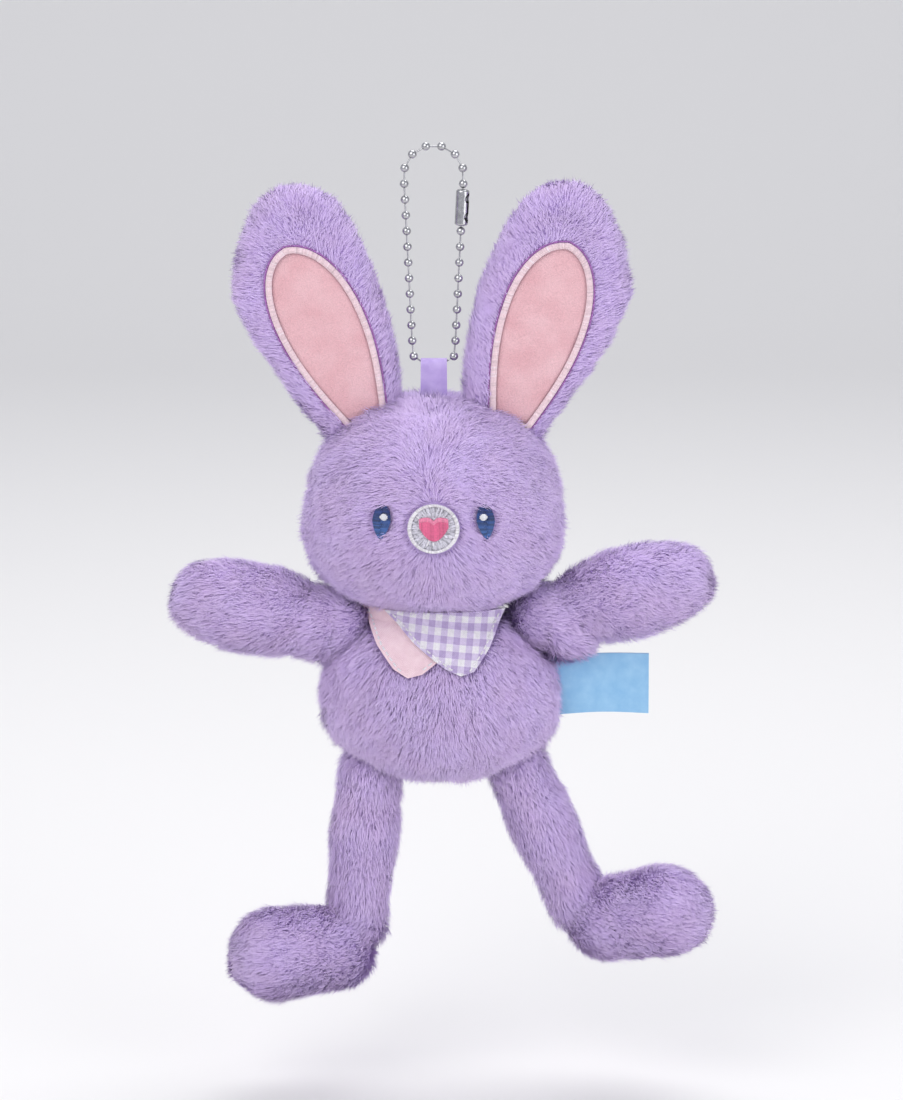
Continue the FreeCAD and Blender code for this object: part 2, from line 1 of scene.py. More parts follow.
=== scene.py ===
"""Looks for the plush bunny bag charm: pile, embroidery, cloth, metal, light and camera."""

import json
import math

import bmesh
import bpy
import numpy as np
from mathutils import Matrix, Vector
from mathutils.bvhtree import BVHTree
from mathutils.kdtree import KDTree


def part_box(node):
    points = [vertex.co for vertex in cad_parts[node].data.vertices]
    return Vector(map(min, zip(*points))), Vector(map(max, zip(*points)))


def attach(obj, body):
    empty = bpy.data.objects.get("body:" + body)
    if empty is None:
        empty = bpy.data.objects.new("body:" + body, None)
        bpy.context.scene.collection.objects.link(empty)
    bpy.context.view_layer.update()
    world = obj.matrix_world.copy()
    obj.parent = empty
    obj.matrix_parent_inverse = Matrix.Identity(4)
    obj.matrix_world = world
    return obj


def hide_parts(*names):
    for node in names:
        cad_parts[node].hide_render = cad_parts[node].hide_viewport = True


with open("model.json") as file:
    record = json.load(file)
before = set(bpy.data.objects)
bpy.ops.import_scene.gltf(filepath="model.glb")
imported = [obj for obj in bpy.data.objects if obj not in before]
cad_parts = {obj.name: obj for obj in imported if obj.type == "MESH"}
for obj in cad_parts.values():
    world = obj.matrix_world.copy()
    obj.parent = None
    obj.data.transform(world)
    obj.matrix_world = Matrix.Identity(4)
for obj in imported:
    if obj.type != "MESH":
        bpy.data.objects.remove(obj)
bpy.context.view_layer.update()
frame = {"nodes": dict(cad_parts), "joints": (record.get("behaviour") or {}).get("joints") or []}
nodes = frame["nodes"]

MM = 0.001
UP = np.array([0.0, 0.0, 1.0])
FRONT = np.array([0.0, -1.0, 0.0])
SIDES = (("left", 1), ("right", -1))
DENSITY_SHARE = 1.0

# ---- sizes that repeat the part's own, in metres
HEAD_Z = -78.6 * MM
TORSO_X = 1.6 * MM
EYE_X, EYE_Z = 12.2 * MM, -78.7 * MM
EYE_HALF = (2.15 * MM, 4.1 * MM)
MUZZLE_Z = -80.1 * MM
MUZZLE_R = 6.1 * MM
EAR_SLOPE = math.radians(27)
EAR_TILT = {"left": math.radians(18), "right": math.radians(20)}

# ---- pile
BACKING_GROW = 0.9 * MM
STRAND_WIDTH = 0.15 * MM
PIECE_STRANDS = 60000
ARM_RAISE = {"left": math.radians(4.5), "right": math.radians(2)}
ARM_LIFT = {"left": 2.8 * MM, "right": 0.8 * MM}
ARM_REACH = {"left": 1.0, "right": 0.965}
ARM_SLIM = 0.91
LEG_STRETCH = {"left": 1.005, "right": 1.045}
LEG_TURN_IN = {"left": 0.0, "right": math.radians(2.2)}
EAR_SWELL = 5.0 * MM
EAR_SWELL_IN = {"left": 1.4 * MM, "right": 0.2 * MM}


# ================================================================ small helpers


def unit(v):
    """Vectors scaled to length one, along the last axis."""
    return v / np.maximum(np.linalg.norm(v, axis=-1, keepdims=True), 1e-12)


def dot(a, b):
    return (a * b).sum(-1, keepdims=True)


def joint_point(name):
    joint = next(j for j in frame["joints"] if j["name"] == name)
    return np.array(joint["pos_m"], float)


def hash01(i, j, k, seed):
    """A repeatable random number from 0 to 1 for each lattice point."""
    n = (i * 73856093) ^ (j * 19349663) ^ (k * 83492791) ^ (seed * 40503)
    n &= 0xFFFFFFFF
    n = ((n ^ (n >> 15)) * 73244475) & 0xFFFFFFFF
    n = ((n ^ (n >> 13)) * 73244475) & 0xFFFFFFFF
    return ((n ^ (n >> 16)) & 0xFFFF) / 65535.0


def smooth_noise(points, cell, seed):
    """Value noise from -1 to 1 at points, with features about one cell wide."""
    p = points / cell
    base = np.floor(p).astype(np.int64)
    f = p - base
    f = f * f * (3 - 2 * f)
    total = np.zeros(len(points))
    for dx in (0, 1):
        for dy in (0, 1):
            for dz in (0, 1):
                weight = (
                    (f[:, 0] if dx else 1 - f[:, 0])
                    * (f[:, 1] if dy else 1 - f[:, 1])
                    * (f[:, 2] if dz else 1 - f[:, 2])
                )
                total += weight * hash01(base[:, 0] + dx, base[:, 1] + dy, base[:, 2] + dz, seed)
    return total * 2 - 1


def noise_vectors(points, cell, seed):
    return np.stack([smooth_noise(points, cell, seed + k) for k in range(3)], 1)


def build(name, verts, faces, smooth=True):
    """A mesh object from arrays of corners and of faces with the same number of sides."""
    mesh = bpy.data.meshes.new(name)
    mesh.from_pydata(np.asarray(verts).tolist(), [], np.asarray(faces).tolist())
    mesh.polygons.foreach_set("use_smooth", [smooth] * len(mesh.polygons))
    mesh.update()
    made = bpy.data.objects.new(name, mesh)
    bpy.context.scene.collection.objects.link(made)
    return made


def set_points(mesh, name, values):
    """Stores one number or one colour for each corner of a mesh."""
    kind = "FLOAT_COLOR" if values.ndim == 2 else "FLOAT"
    attribute = mesh.attributes.new(name, kind, "POINT")
    key = "color" if values.ndim == 2 else "value"
    if values.ndim == 2:
        values = np.concatenate([values, np.ones((len(values), 1))], 1)
    attribute.data.foreach_set(key, values.astype(np.float32).ravel())


def arrays(obj):
    """(corners, triangles, corner normals) of a mesh object."""
    mesh = obj.data
    mesh.calc_loop_triangles()
    verts = np.empty(len(mesh.vertices) * 3, np.float32)
    mesh.vertices.foreach_get("co", verts)
    normals = np.empty(len(mesh.vertices) * 3, np.float32)
    mesh.vertices.foreach_get("normal", normals)
    tris = np.empty(len(mesh.loop_triangles) * 3, np.int32)
    mesh.loop_triangles.foreach_get("vertices", tris)
    return verts.reshape(-1, 3).astype(float), tris.reshape(-1, 3), normals.reshape(-1, 3).astype(float)


# ================================================================ materials


def new_material(name):
    """(material, its tree, its Principled shader)."""
    material = bpy.data.materials.new(name)
    material.use_nodes = True
    tree = material.node_tree
    return material, tree, tree.nodes["Principled BSDF"]


def node(tree, kind, **settings):
    made = tree.nodes.new(kind)
    for key, value in settings.items():
        setattr(made, key, value)
    return made


def mixed(tree, blend_type, factor, a, b):
    """A colour mix node whose inputs are sockets or plain values."""
    mix = node(tree, "ShaderNodeMix", data_type="RGBA", blend_type=blend_type)
    for socket, value in ((mix.inputs[0], factor), (mix.inputs[6], a), (mix.inputs[7], b)):
        if isinstance(value, bpy.types.NodeSocket):
            tree.links.new(value, socket)
        elif isinstance(value, (int, float)):
            socket.default_value = value
        else:
            socket.default_value = (*value, 1)
    return mix.outputs[2]


def maths(tree, operation, a, b=0.0):
    made = node(tree, "ShaderNodeMath", operation=operation)
    for socket, value in ((made.inputs[0], a), (made.inputs[1], b)):
        if isinstance(value, bpy.types.NodeSocket):
            tree.links.new(value, socket)
        else:
            socket.default_value = value
    return made.outputs[0]


def noise_texture(tree, scale, detail=2.0, distortion=0.0):
    """A noise value in the object's own space, with scale in features per metre."""
    place = node(tree, "ShaderNodeTexCoord")
    made = node(tree, "ShaderNodeTexNoise")
    made.inputs["Scale"].default_value = scale
    made.inputs["Detail"].default_value = detail
    made.inputs["Distortion"].default_value = distortion
    tree.links.new(place.outputs["Object"], made.inputs["Vector"])
    return made.outputs[0]


def ramp(tree, value, stops):
    """A colour ramp through (position, colour) stops."""
    made = node(tree, "ShaderNodeValToRGB")
    elements = made.color_ramp.elements
    while len(elements) < len(stops):
        elements.new(0.5)
    for element, (position, colour) in zip(elements, stops):
        element.position = position
        element.color = (*colour, 1)
    tree.links.new(value, made.inputs[0])
    return made.outputs[0]


def bumped(tree, shader, height, distance, strength=1.0):
    bump = node(tree, "ShaderNodeBump")
    bump.inputs["Strength"].default_value = strength
    bump.inputs["Distance"].default_value = distance
    tree.links.new(height, bump.inputs["Height"])
    tree.links.new(bump.outputs[0], shader.inputs["Normal"])


PILE_ROOT_SHADE = (0.60, 0.43, 0.82)
PILE_MID = (0.71, 0.55, 0.91)
PILE_TIP = (0.81, 0.67, 0.97)
PILE_ROSE_SHADE = (0.74, 0.54, 0.80)


def pile_material():
    """Strands with painted shade at their roots that lightens to their tips, and painted pinkish shade in random
    patches.
    """
    material, tree, shader = new_material("pile")
    # The tone attribute holds random tone plus painted shade that darkens each strand towards its root.
    tone = node(tree, "ShaderNodeAttribute", attribute_name="tone").outputs["Fac"]
    length = ramp(tree, tone, [(0.0, PILE_ROOT_SHADE), (0.55, PILE_MID), (1.0, PILE_TIP)])
    # Painted pinkish shade, laid over the pile in random noise patches.
    rose_shade_patches = ramp(tree, noise_texture(tree, 120, 3), [(0.35, (0, 0, 0)), (0.75, (0.35, 0.35, 0.35))])
    rose_shaded = mixed(tree, "MIX", rose_shade_patches, length, PILE_ROSE_SHADE)
    tree.links.new(rose_shaded, shader.inputs["Base Color"])
    shader.inputs["Roughness"].default_value = 0.9
    shader.inputs["Specular IOR Level"].default_value = 0.08
    shader.inputs["Sheen Weight"].default_value = 0.25
    shader.inputs["Sheen Roughness"].default_value = 0.5
    shader.inputs["Sheen Tint"].default_value = (0.85, 0.8, 1.0, 1)
    return material


def backing_material():
    """The knitted ground under the pile, coloured between the pile's painted root shade and its middle colour."""
    material, tree, shader = new_material("pile_ground")
    colour = ramp(tree, noise_texture(tree, 900, 4), [(0.3, PILE_ROOT_SHADE), (0.8, PILE_MID)])
    tree.links.new(colour, shader.inputs["Base Color"])
    bumped(tree, shader, noise_texture(tree, 2500, 3), 0.4 * MM)
    shader.inputs["Roughness"].default_value = 0.95
    return material


def thread_material():
    """Glossy embroidery thread coloured by each stitch's own colour."""
    material, tree, shader = new_material("thread")
    own = node(tree, "ShaderNodeAttribute", attribute_name="thread_colour").outputs["Color"]
    uneven = ramp(tree, noise_texture(tree, 2600, 3), [(0.3, (0.78, 0.78, 0.78)), (0.75, (1, 1, 1))])
    tree.links.new(mixed(tree, "MULTIPLY", 1.0, own, uneven), shader.inputs["Base Color"])
    bumped(tree, shader, noise_texture(tree, 6000, 2), 0.05 * MM)
    shader.inputs["Roughness"].default_value = 0.38
    shader.inputs["Sheen Weight"].default_value = 0.3
    shader.inputs["Anisotropic"].default_value = 0.4
    return material


def velboa_material():
    """Short pink nap that catches the light in soft clouds."""
    material, tree, shader = new_material("ear_lining")
    clouds = ramp(tree, noise_texture(tree, 160, 4), [(0.3, (0.80, 0.44, 0.48)), (0.7, (0.88, 0.55, 0.59))])
    grain = ramp(tree, noise_texture(tree, 3200, 2), [(0.3, (0.82, 0.82, 0.82)), (0.75, (1, 1, 1))])
    tree.links.new(mixed(tree, "MULTIPLY", 1.0, clouds, grain), shader.inputs["Base Color"])
    bumped(tree, shader, noise_texture(tree, 3200, 3), 0.25 * MM)
    shader.inputs["Roughness"].default_value = 0.85
    shader.inputs["Sheen Weight"].default_value = 0.6
    shader.inputs["Sheen Tint"].default_value = (1.0, 0.85, 0.86, 1)
    return material


def woven_bump(tree, uv, shader, threads_per_unit, distance):
    """Over-and-under weave as a height, on a cloth whose map is in metres."""
    split = node(tree, "ShaderNodeSeparateXYZ")
    tree.links.new(uv, split.inputs[0])
    waves = []
    for axis in (0, 1):
        angle = maths(tree, "MULTIPLY", split.outputs[axis], threads_per_unit * 2 * math.pi)
        waves.append(maths(tree, "SINE", angle))
    height = maths(tree, "ADD", maths(tree, "MULTIPLY", waves[0], waves[1]), 1.0)
    bumped(tree, shader, height, distance)


def plain_cotton_material():
    """Pale pink cotton with a fine weave."""
    material, tree, shader = new_material("scarf_plain")
    uv = node(tree, "ShaderNodeUVMap", uv_map="cloth").outputs[0]
    colour = ramp(tree, noise_texture(tree, 500, 4), [(0.3, (0.84, 0.60, 0.67)), (0.7, (0.92, 0.70, 0.76))])
    tree.links.new(colour, shader.inputs["Base Color"])
    woven_bump(tree, uv, shader, 2.2, 0.06 * MM)
    shader.inputs["Roughness"].default_value = 0.8
    shader.inputs["Sheen Weight"].default_value = 0.25
    return material


def stripes(tree, socket, period):
    """1 on the coloured half of each stripe and 0 on the white half."""
    wave = maths(tree, "SINE", maths(tree, "MULTIPLY", socket, 2 * math.pi / period))
    sharp = maths(tree, "MULTIPLY", wave, 6.0)
    clamp = node(tree, "ShaderNodeClamp")
    tree.links.new(maths(tree, "ADD", sharp, 0.5), clamp.inputs[0])
    return clamp.outputs[0]


CHECK_PERIOD = 3.1  # on the cloth's map, which is in millimetres


def gingham_material():
    """Lilac and white checks, whose crossings are darker than their single stripes."""
    material, tree, shader = new_material("scarf_check")
    uv = node(tree, "ShaderNodeUVMap", uv_map="cloth").outputs[0]
    split = node(tree, "ShaderNodeSeparateXYZ")
    tree.links.new(uv, split.inputs[0])
    both = maths(
        tree,
        "MULTIPLY",
        maths(tree, "ADD", stripes(tree, split.outputs[0], CHECK_PERIOD), stripes(tree, split.outputs[1], CHECK_PERIOD)),
        0.5,
    )
    colour = ramp(tree, both, [(0.0, (0.88, 0.86, 0.90)), (0.5, (0.70, 0.61, 0.82)), (1.0, (0.50, 0.39, 0.66))])
    uneven = ramp(tree, noise_texture(tree, 1500, 3), [(0.3, (0.86, 0.86, 0.86)), (0.7, (1, 1, 1))])
    tree.links.new(mixed(tree, "MULTIPLY", 1.0, colour, uneven), shader.inputs["Base Color"])
    woven_bump(tree, uv, shader, 2.2, 0.06 * MM)
    shader.inputs["Roughness"].default_value = 0.75
    shader.inputs["Sheen Weight"].default_value = 0.25
    return material


def satin_material(name, dark, light, roughness):
    """Smooth woven satin: fine cross ribs and a soft shine."""
    material, tree, shader = new_material(name)
    uv = node(tree, "ShaderNodeUVMap", uv_map="cloth").outputs[0]
    colour = ramp(tree, noise_texture(tree, 350, 3), [(0.3, dark), (0.7, light)])
    tree.links.new(colour, shader.inputs["Base Color"])
    woven_bump(tree, uv, shader, 3.4, 0.03 * MM)
    shader.inputs["Roughness"].default_value = roughness
    shader.inputs["Sheen Weight"].default_value = 0.2
    return material


def metal_material():
    """Bright nickel plate with faint wear."""
    material, tree, shader = new_material("steel")
    colour = ramp(tree, noise_texture(tree, 700, 4), [(0.3, (0.40, 0.40, 0.41)), (0.7, (0.58, 0.58, 0.60))])
    tree.links.new(colour, shader.inputs["Base Color"])
    wear = ramp(tree, noise_texture(tree, 1600, 3), [(0.3, (0.14, 0.14, 0.14)), (0.75, (0.3, 0.3, 0.3))])
    tree.links.new(wear, shader.inputs["Roughness"])
    shader.inputs["Metallic"].default_value = 1.0
    return material


PILE = pile_material()
BACKING = backing_material()
THREAD = thread_material()
LINING = velboa_material()
COTTON = plain_cotton_material()
GINGHAM = gingham_material()
RIBBON = satin_material("ribbon", (0.44, 0.31, 0.70), (0.58, 0.45, 0.82), 0.32)
LABEL = satin_material("label", (0.25, 0.52, 0.80), (0.34, 0.61, 0.86), 0.5)
STEEL = metal_material()


# ================================================================ skins


def remeshed(name, members, voxel, rounds):
    """One closed skin round several CAD nodes, evenly meshed and smoothed."""
    source = bmesh.new()
    for member in members:
        source.from_mesh(nodes[member].data)
    mesh = bpy.data.meshes.new(name)
    source.to_mesh(mesh)
    source.free()
    made = bpy.data.objects.new(name, mesh)
    bpy.context.scene.collection.objects.link(made)
    remesh = made.modifiers.new("even", "REMESH")
    remesh.mode = "VOXEL"
    remesh.voxel_size = voxel
    relax = made.modifiers.new("relax", "SMOOTH")
    relax.factor = 0.5
    relax.iterations = rounds
    evaluated = made.evaluated_get(bpy.context.evaluated_depsgraph_get())
    made.data = bpy.data.meshes.new_from_object(evaluated)
    made.modifiers.clear()
    made.data.polygons.foreach_set("use_smooth", [True] * len(made.data.polygons))
    return made


def move_points(obj, verts):
    obj.data.vertices.foreach_set("co", verts.astype(np.float32).ravel())
    obj.data.update()


def plump(obj, grow, lump, seed):
    """Moves a skin outward, unevenly, as filling does under cloth."""
    verts, _, normals = arrays(obj)
    wavy = smooth_noise(verts, 14 * MM, seed) + 0.5 * smooth_noise(verts, 6 * MM, seed + 1)
    move_points(obj, verts + normals * (grow + lump * wavy)[:, None])


def fatten_root(obj, pivot, along, radius, reach):
    """Fills a limb's pinched root out to a given radius, as the pile and filling do."""
    verts, _, _ = arrays(obj)
    offset = verts - pivot
    s = offset @ along
    radial = offset - s[:, None] * along
    r = np.linalg.norm(radial, axis=1)
    share = np.clip((s + 2 * MM) / (4 * MM), 0, 1) * np.clip((reach - s) / (reach * 0.4), 0, 1)
    wanted = np.maximum(r, radius * share)
    move_points(obj, verts + unit(radial) * ((wanted - r) * (r > 2 * MM))[:, None])


def ear_axes(side, sign):
    """(seat, across, along) of an ear: its hinge's middle and its own two directions."""
    seat = joint_point(f"{side}_ear_flop")
    tilt = sign * EAR_TILT[side]
    along = np.array([math.sin(tilt), 0, math.cos(tilt)])
    across = np.array([math.cos(tilt), 0, -math.sin(tilt)])
    return seat, across, along


def limb_direction(side, part):
    """The line along an arm or leg from its joint."""
    low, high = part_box(f"{side}_{part}_stuffing")
    middle = np.array((low + high) / 2)
    pivot = joint_point(f"{side}_{part}_swing")
    return pivot, unit(middle - pivot)


def raise_arm(obj, side, sign):
    """Turns an arm's cloth up a little about its joint, as the filling holds it."""
    pivot = joint_point(f"{side}_arm_swing")
    verts, _, _ = arrays(obj)
    offset = verts - pivot
    line = limb_direction(side, "arm")[1]
    s = (offset @ line)[:, None]
    radial = offset - s * line
    offset = s * line * ARM_REACH[side] + radial * (1 - (1 - ARM_SLIM) * np.clip(s / (10 * MM), 0, 1))
    turn = ARM_RAISE[side]
    x = offset[:, 0] * math.cos(turn) - offset[:, 2] * math.sin(turn) * sign
    z = offset[:, 2] * math.cos(turn) + offset[:, 0] * math.sin(turn) * sign
    move_points(obj, pivot + np.stack([x, offset[:, 1], z + ARM_LIFT[side]], 1))


def stretch_leg(obj, side, line):
    """Lengthens a leg's cloth from its joint."""
    pivot = joint_point(f"{side}_leg_swing")
    verts, _, _ = arrays(obj)
    s = np.maximum((verts - pivot) @ line, 0)[:, None]
    inward = np.array([-np.sign(pivot[0]) * math.tan(LEG_TURN_IN[side]), 0, 0])
    move_points(obj, verts + line * s * (LEG_STRETCH[side] - 1) + inward * s)


def swell_ear(obj, side, sign):
    """Spreads an ear's outer edge below its tip, as its deep pile does."""
    seat, across, along = ear_axes(side, sign)
    verts, _, _ = arrays(obj)
    s, x = (verts - seat) @ along, (verts - seat) @ across * sign
    outer = np.clip(x / (12 * MM), 0, 1) * np.clip((52 * MM - s) / (18 * MM), 0, 1) * np.clip(s / (34 * MM), 0, 1)
    inner = np.clip(-x / (10 * MM), 0, 1) * np.clip((44 * MM - s) / (24 * MM), 0, 1)
    move_points(obj, verts + across * sign * (EAR_SWELL * outer - EAR_SWELL_IN[side] * inner)[:, None])


def narrow_head(obj):
    """Draws in the sides of the head, most at the crown, to leave room for its pile."""
    verts, _, _ = arrays(obj)
    high = np.clip((verts[:, 2] + 90 * MM) / (13 * MM), 0, 1)
    verts[:, 0] *= 0.97 - 0.035 * high
    move_points(obj, verts)


def narrow_torso(obj):
    """Draws in the sides of the body to leave room for its pile."""
    verts, _, _ = arrays(obj)
    verts[:, 0] = TORSO_X + (verts[:, 0] - TORSO_X) * 0.965
    move_points(obj, verts)


def skin(name, members, body, grow=BACKING_GROW, lump=0.35 * MM, seed=1, voxel=0.7 * MM, root=None, shape=None):
    """The cloth of one stuffed piece, standing for its CAD panels and filling."""
    made = remeshed(name, members, voxel, 6)
    if shape:
        shape[0](made, *shape[1:])
    if root:
        fatten_root(made, *root)
    plump(made, grow, lump, seed)
    made.data.materials.append(BACKING)
    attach(made, body)
    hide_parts(*members)
    return made


HEAD_PIECES = ["head_front_panel", "head_back_panel", "head_stuffing"]
TORSO_PIECES = ["torso_front_panel", "torso_back_panel", "torso_stuffing", "neck_plug"]
skins = {
    "head": skin("head_cloth", HEAD_PIECES, "head", seed=3, shape=(narrow_head,)),
    "torso": skin("torso_cloth", TORSO_PIECES, "torso", seed=7, lump=0.45 * MM, shape=(narrow_torso,)),
}
LEG_LINE = {}
for side, sign in SIDES:
    arm_pivot, arm_line = limb_direction(side, "arm")
    leg_pivot = joint_point(f"{side}_leg_swing")
    splay = math.radians(24 if side == "left" else 7)
    LEG_LINE[side] = np.array([sign * math.sin(splay), 0, -math.cos(splay)])
    skins[f"{side}_arm"] = skin(
        f"{side}_arm_cloth",
        [f"{side}_arm_{k}" for k in ("front_panel", "back_panel", "stuffing")],
        f"{side}_arm",
        seed=11 + sign,
        grow=0.3 * MM,
        root=(arm_pivot, arm_line, 7.8 * MM, 14 * MM),
        shape=(raise_arm, side, sign),
    )
    skins[f"{side}_leg"] = skin(
        f"{side}_leg_cloth",
        [f"{side}_leg_{k}" for k in ("front_panel", "back_panel", "stuffing")],
        f"{side}_leg",
        seed=17 + sign,
        grow=0.1 * MM,
        root=(leg_pivot, LEG_LINE[side], 6.6 * MM, 14 * MM),
        shape=(stretch_leg, side, LEG_LINE[side]),
    )
    skins[f"{side}_ear"] = skin(
        f"{side}_ear_cloth",
        [f"{side}_ear_{k}" for k in ("front_panel", "back_panel", "padding")],
        f"{side}_ear",
        grow=0.6 * MM,
        lump=0.3 * MM,
        seed=23 + sign,
        voxel=0.6 * MM,
        shape=(swell_ear, side, sign),
    )


# ================================================================ pile


def scattered(obj, per_mm2, rng):
    """(points, normals) spread evenly at random over a skin."""
    verts, tris, normals = arrays(obj)
    a, b, c = verts[tris[:, 0]], verts[tris[:, 1]], verts[tris[:, 2]]
    areas = np.linalg.norm(np.cross(b - a, c - a), axis=1) / 2
    count = int(areas.sum() / (MM * MM) * per_mm2 * DENSITY_SHARE)
    pick = np.searchsorted(np.cumsum(areas) / areas.sum(), rng.random(count))
    pick = np.minimum(pick, len(tris) - 1)
    u, v = rng.random(count), rng.random(count)
    flip = u + v > 1
    u[flip], v[flip] = 1 - u[flip], 1 - v[flip]
    w = 1 - u - v

    def blend(values):
        t = tris[pick]
        return values[t[:, 0]] * w[:, None] + values[t[:, 1]] * u[:, None] + values[t[:, 2]] * v[:, None]

    return blend(verts), unit(blend(normals))


def buried(points, others, depth):
    """Which points lie more than depth inside one of the other skins."""
    inside = np.zeros(len(points), bool)
    for other in others:
        tree = TREES[other]
        low, high = BOXES[other]
        near = np.flatnonzero(((points > low) & (points < high)).all(1) & ~inside)
        for i in near:
            place, normal, _, _ = tree.find_nearest(Vector(points[i]))
            inside[i] = (Vector(points[i]) - place).dot(normal) < -depth
    return inside


def gathered(points, tips, per_mm2, pull, rng):
    """Draws strand tips towards the nearest of some scattered middles, which parts the pile in tufts."""
    count = max(8, int(len(points) * per_mm2))
    chosen = rng.choice(len(points), count, replace=False)
    tree = KDTree(count)
    for index, i in enumerate(chosen):
        tree.insert(points[i], index)
    tree.balance()
    nearest = np.array([tree.find(p)[1] for p in points])
    middles = tips[chosen][nearest]
    strength = pull * (0.5 + 0.5 * rng.random(len(points)))[:, None]
    return tips + (middles - tips) * strength


def strands_mesh(name, roots, middles, tips, normals, tone, rng):
    """Tapered ribbons, one for each strand, that lie along the surface and shade with it."""
    count = len(roots)
    lower, upper = unit(middles - roots), unit(tips - middles)
    spin = rng.normal(0, 0.5, (count, 1))
    side_low = unit(np.cross(lower, normals) + normals * spin * 0.3)
    side_up = unit(np.cross(upper, normals) + normals * spin * 0.3)
    half = STRAND_WIDTH / 2 * (0.75 + 0.5 * rng.random((count, 1)))
    corners = np.stack(
        [
            roots - side_low * half,
            roots + side_low * half,
            middles - side_up * half * 0.85,
            middles + side_up * half * 0.85,
            tips,
        ],
        1,
    ).reshape(-1, 3)
    start = np.arange(count) * 5
    quads = np.stack([start, start + 1, start + 3, start + 2], 1)
    tris = np.stack([start + 2, start + 3, start + 4], 1)
    mesh = bpy.data.meshes.new(name)
    mesh.vertices.add(len(corners))
    mesh.vertices.foreach_set("co", corners.astype(np.float32).ravel())
    loops = np.concatenate([quads, tris], 1).ravel()
    mesh.loops.add(len(loops))
    mesh.loops.foreach_set("vertex_index", loops.astype(np.int32))
    mesh.polygons.add(count * 2)
    loop_starts = (np.arange(count) * 7)[:, None] + np.array([[0, 4]])
    mesh.polygons.foreach_set("loop_start", loop_starts.ravel().astype(np.int32))
    mesh.update(calc_edges=True)
    mesh.polygons.foreach_set("use_smooth", [True] * (count * 2))
    outward = unit(np.repeat(normals, 5, 0) * 1.0 + np.repeat(unit(tips - roots), 5, 0) * 0.2)
    mesh.normals_split_custom_set_from_vertices(outward.tolist())
    # Painted shade: the low values darken each strand's root, lightening towards its tip.
    shade = np.clip(np.array([[0.2, 0.2, 0.6, 0.6, 0.9]]) + tone[:, None], 0, 1).ravel()
    set_points(mesh, "tone", shade)
    strand_map(mesh, count)
    made = bpy.data.objects.new(name, mesh)
    bpy.context.scene.collection.objects.link(made)
    return made


def strand_map(mesh, count):
    """A cell of the baking map for each strand."""
    across = math.ceil(math.sqrt(count))
    index = np.arange(count)
    low = np.stack([index % across, index // across], 1)[:, None, :] / across
    shape = np.array([[0.1, 0.1], [0.9, 0.1], [0.9, 0.5], [0.1, 0.5], [0.1, 0.5], [0.9, 0.5], [0.5, 0.9]])
    layer = mesh.uv_layers.new(name="OFBake")
    layer.data.foreach_set("uv", (low + shape[None] / across).astype(np.float32).ravel())


def comb(name, skin_name, body, flow, per_mm2, length, seed, lift=0.75, keep=None, short=None, others=(), pull=0.28):
    """The pile on a skin: strands that stand up by lift and lean along flow, in small tufts.

    keep and short take points and normals. keep says which strands there are, and short gives each
    strand's share of the full length.
    """
    rng = np.random.default_rng(seed)
    roots, normals = scattered(skins[skin_name], per_mm2, rng)
    kept = ~buried(roots, others, 1.6 * MM)
    if keep is not None:
        kept &= keep(roots, normals)
    roots, normals = roots[kept], normals[kept]
    lean = flow(roots, normals) + 0.35 * noise_vectors(roots, 5 * MM, seed)
    lean = lean + 0.16 * noise_vectors(roots, 1.6 * MM, seed + 9)
    lean = lean - normals * dot(lean, normals)
    share = 0.82 + 0.25 * smooth_noise(roots, 4 * MM, seed + 5) + 0.16 * rng.standard_normal(len(roots))
    full = length * np.clip(share, 0.35, 1.3)
    if short is not None:
        full = full * short(roots, normals, unit(lean) * length)
    full = full[:, None]
    scatter = rng.normal(0, 0.16, (len(roots), 3))
    first = unit(normals * lift + lean * 0.6 + scatter)
    second = unit(normals * lift * 0.35 + lean * 1.0 + scatter * 1.2 - UP * 0.12)
    middles = roots + first * full * 0.5
    tips = middles + second * full * 0.5
    tips = gathered(roots, tips, 0.04, pull, rng)
    tone = 0.10 * smooth_noise(roots, 2.2 * MM, seed + 3) + 0.07 * rng.standard_normal(len(roots))
    roots = roots - normals * 0.3 * MM
    parts = math.ceil(len(roots) / PIECE_STRANDS)
    for part in range(parts):
        chosen = slice(part, None, parts)
        arrays_of_part = [values[chosen] for values in (roots, middles, tips, normals, tone)]
        made = strands_mesh(f"{name}_{part + 1}", *arrays_of_part, rng)
        made.data.materials.append(PILE)
        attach(made, body)


def tree_of(obj):
    verts, tris, _ = arrays(obj)
    return BVHTree.FromPolygons(verts.tolist(), tris.tolist())


TREES = {name: tree_of(obj) for name, obj in skins.items()}
BOXES = {name: (arrays(obj)[0].min(0), arrays(obj)[0].max(0)) for name, obj in skins.items()}


# ---- which way the pile lies


def head_flow(p, n):
    """Outward from the nose, then down over the cheeks."""
    out = np.stack([p[:, 0] * 1.0, np.zeros(len(p)), (p[:, 2] - MUZZLE_Z) * 0.35], 1)
    return unit(out) * 0.9 + np.array([0, 0.25, -0.30])


def torso_flow(p, n):
    out = np.stack([(p[:, 0] - TORSO_X) * 1.0, np.zeros(len(p)), np.zeros(len(p))], 1)
    return out / (16 * MM) * 0.6 + np.array([0, 0, -0.75])


def limb_flow(line):
    def flow(p, n):
        return line[None] * 0.85 + np.array([0, 0, -0.25])

    return flow


def leg_flow(side, sign):
    """Down the leg, then out along the foot."""
    pivot, line = joint_point(f"{side}_leg_swing"), LEG_LINE[side]
    foot = unit(np.array([sign * 1.0, -0.4, 0.0]))

    def flow(p, n):
        s = np.clip(((p - pivot) @ line - 30 * MM) / (10 * MM), 0, 1)[:, None]
        return line[None] * (1 - s) + foot[None] * s

    return flow


# ---- where the pile is bare or short


def in_face(p, n, x, z, half_x, half_z):
    """Which points on the front of the head lie inside an oval."""
    return (((p[:, 0] - x) / half_x) ** 2 + ((p[:, 2] - z) / half_z) ** 2 < 1) & (n[:, 1] < 0)


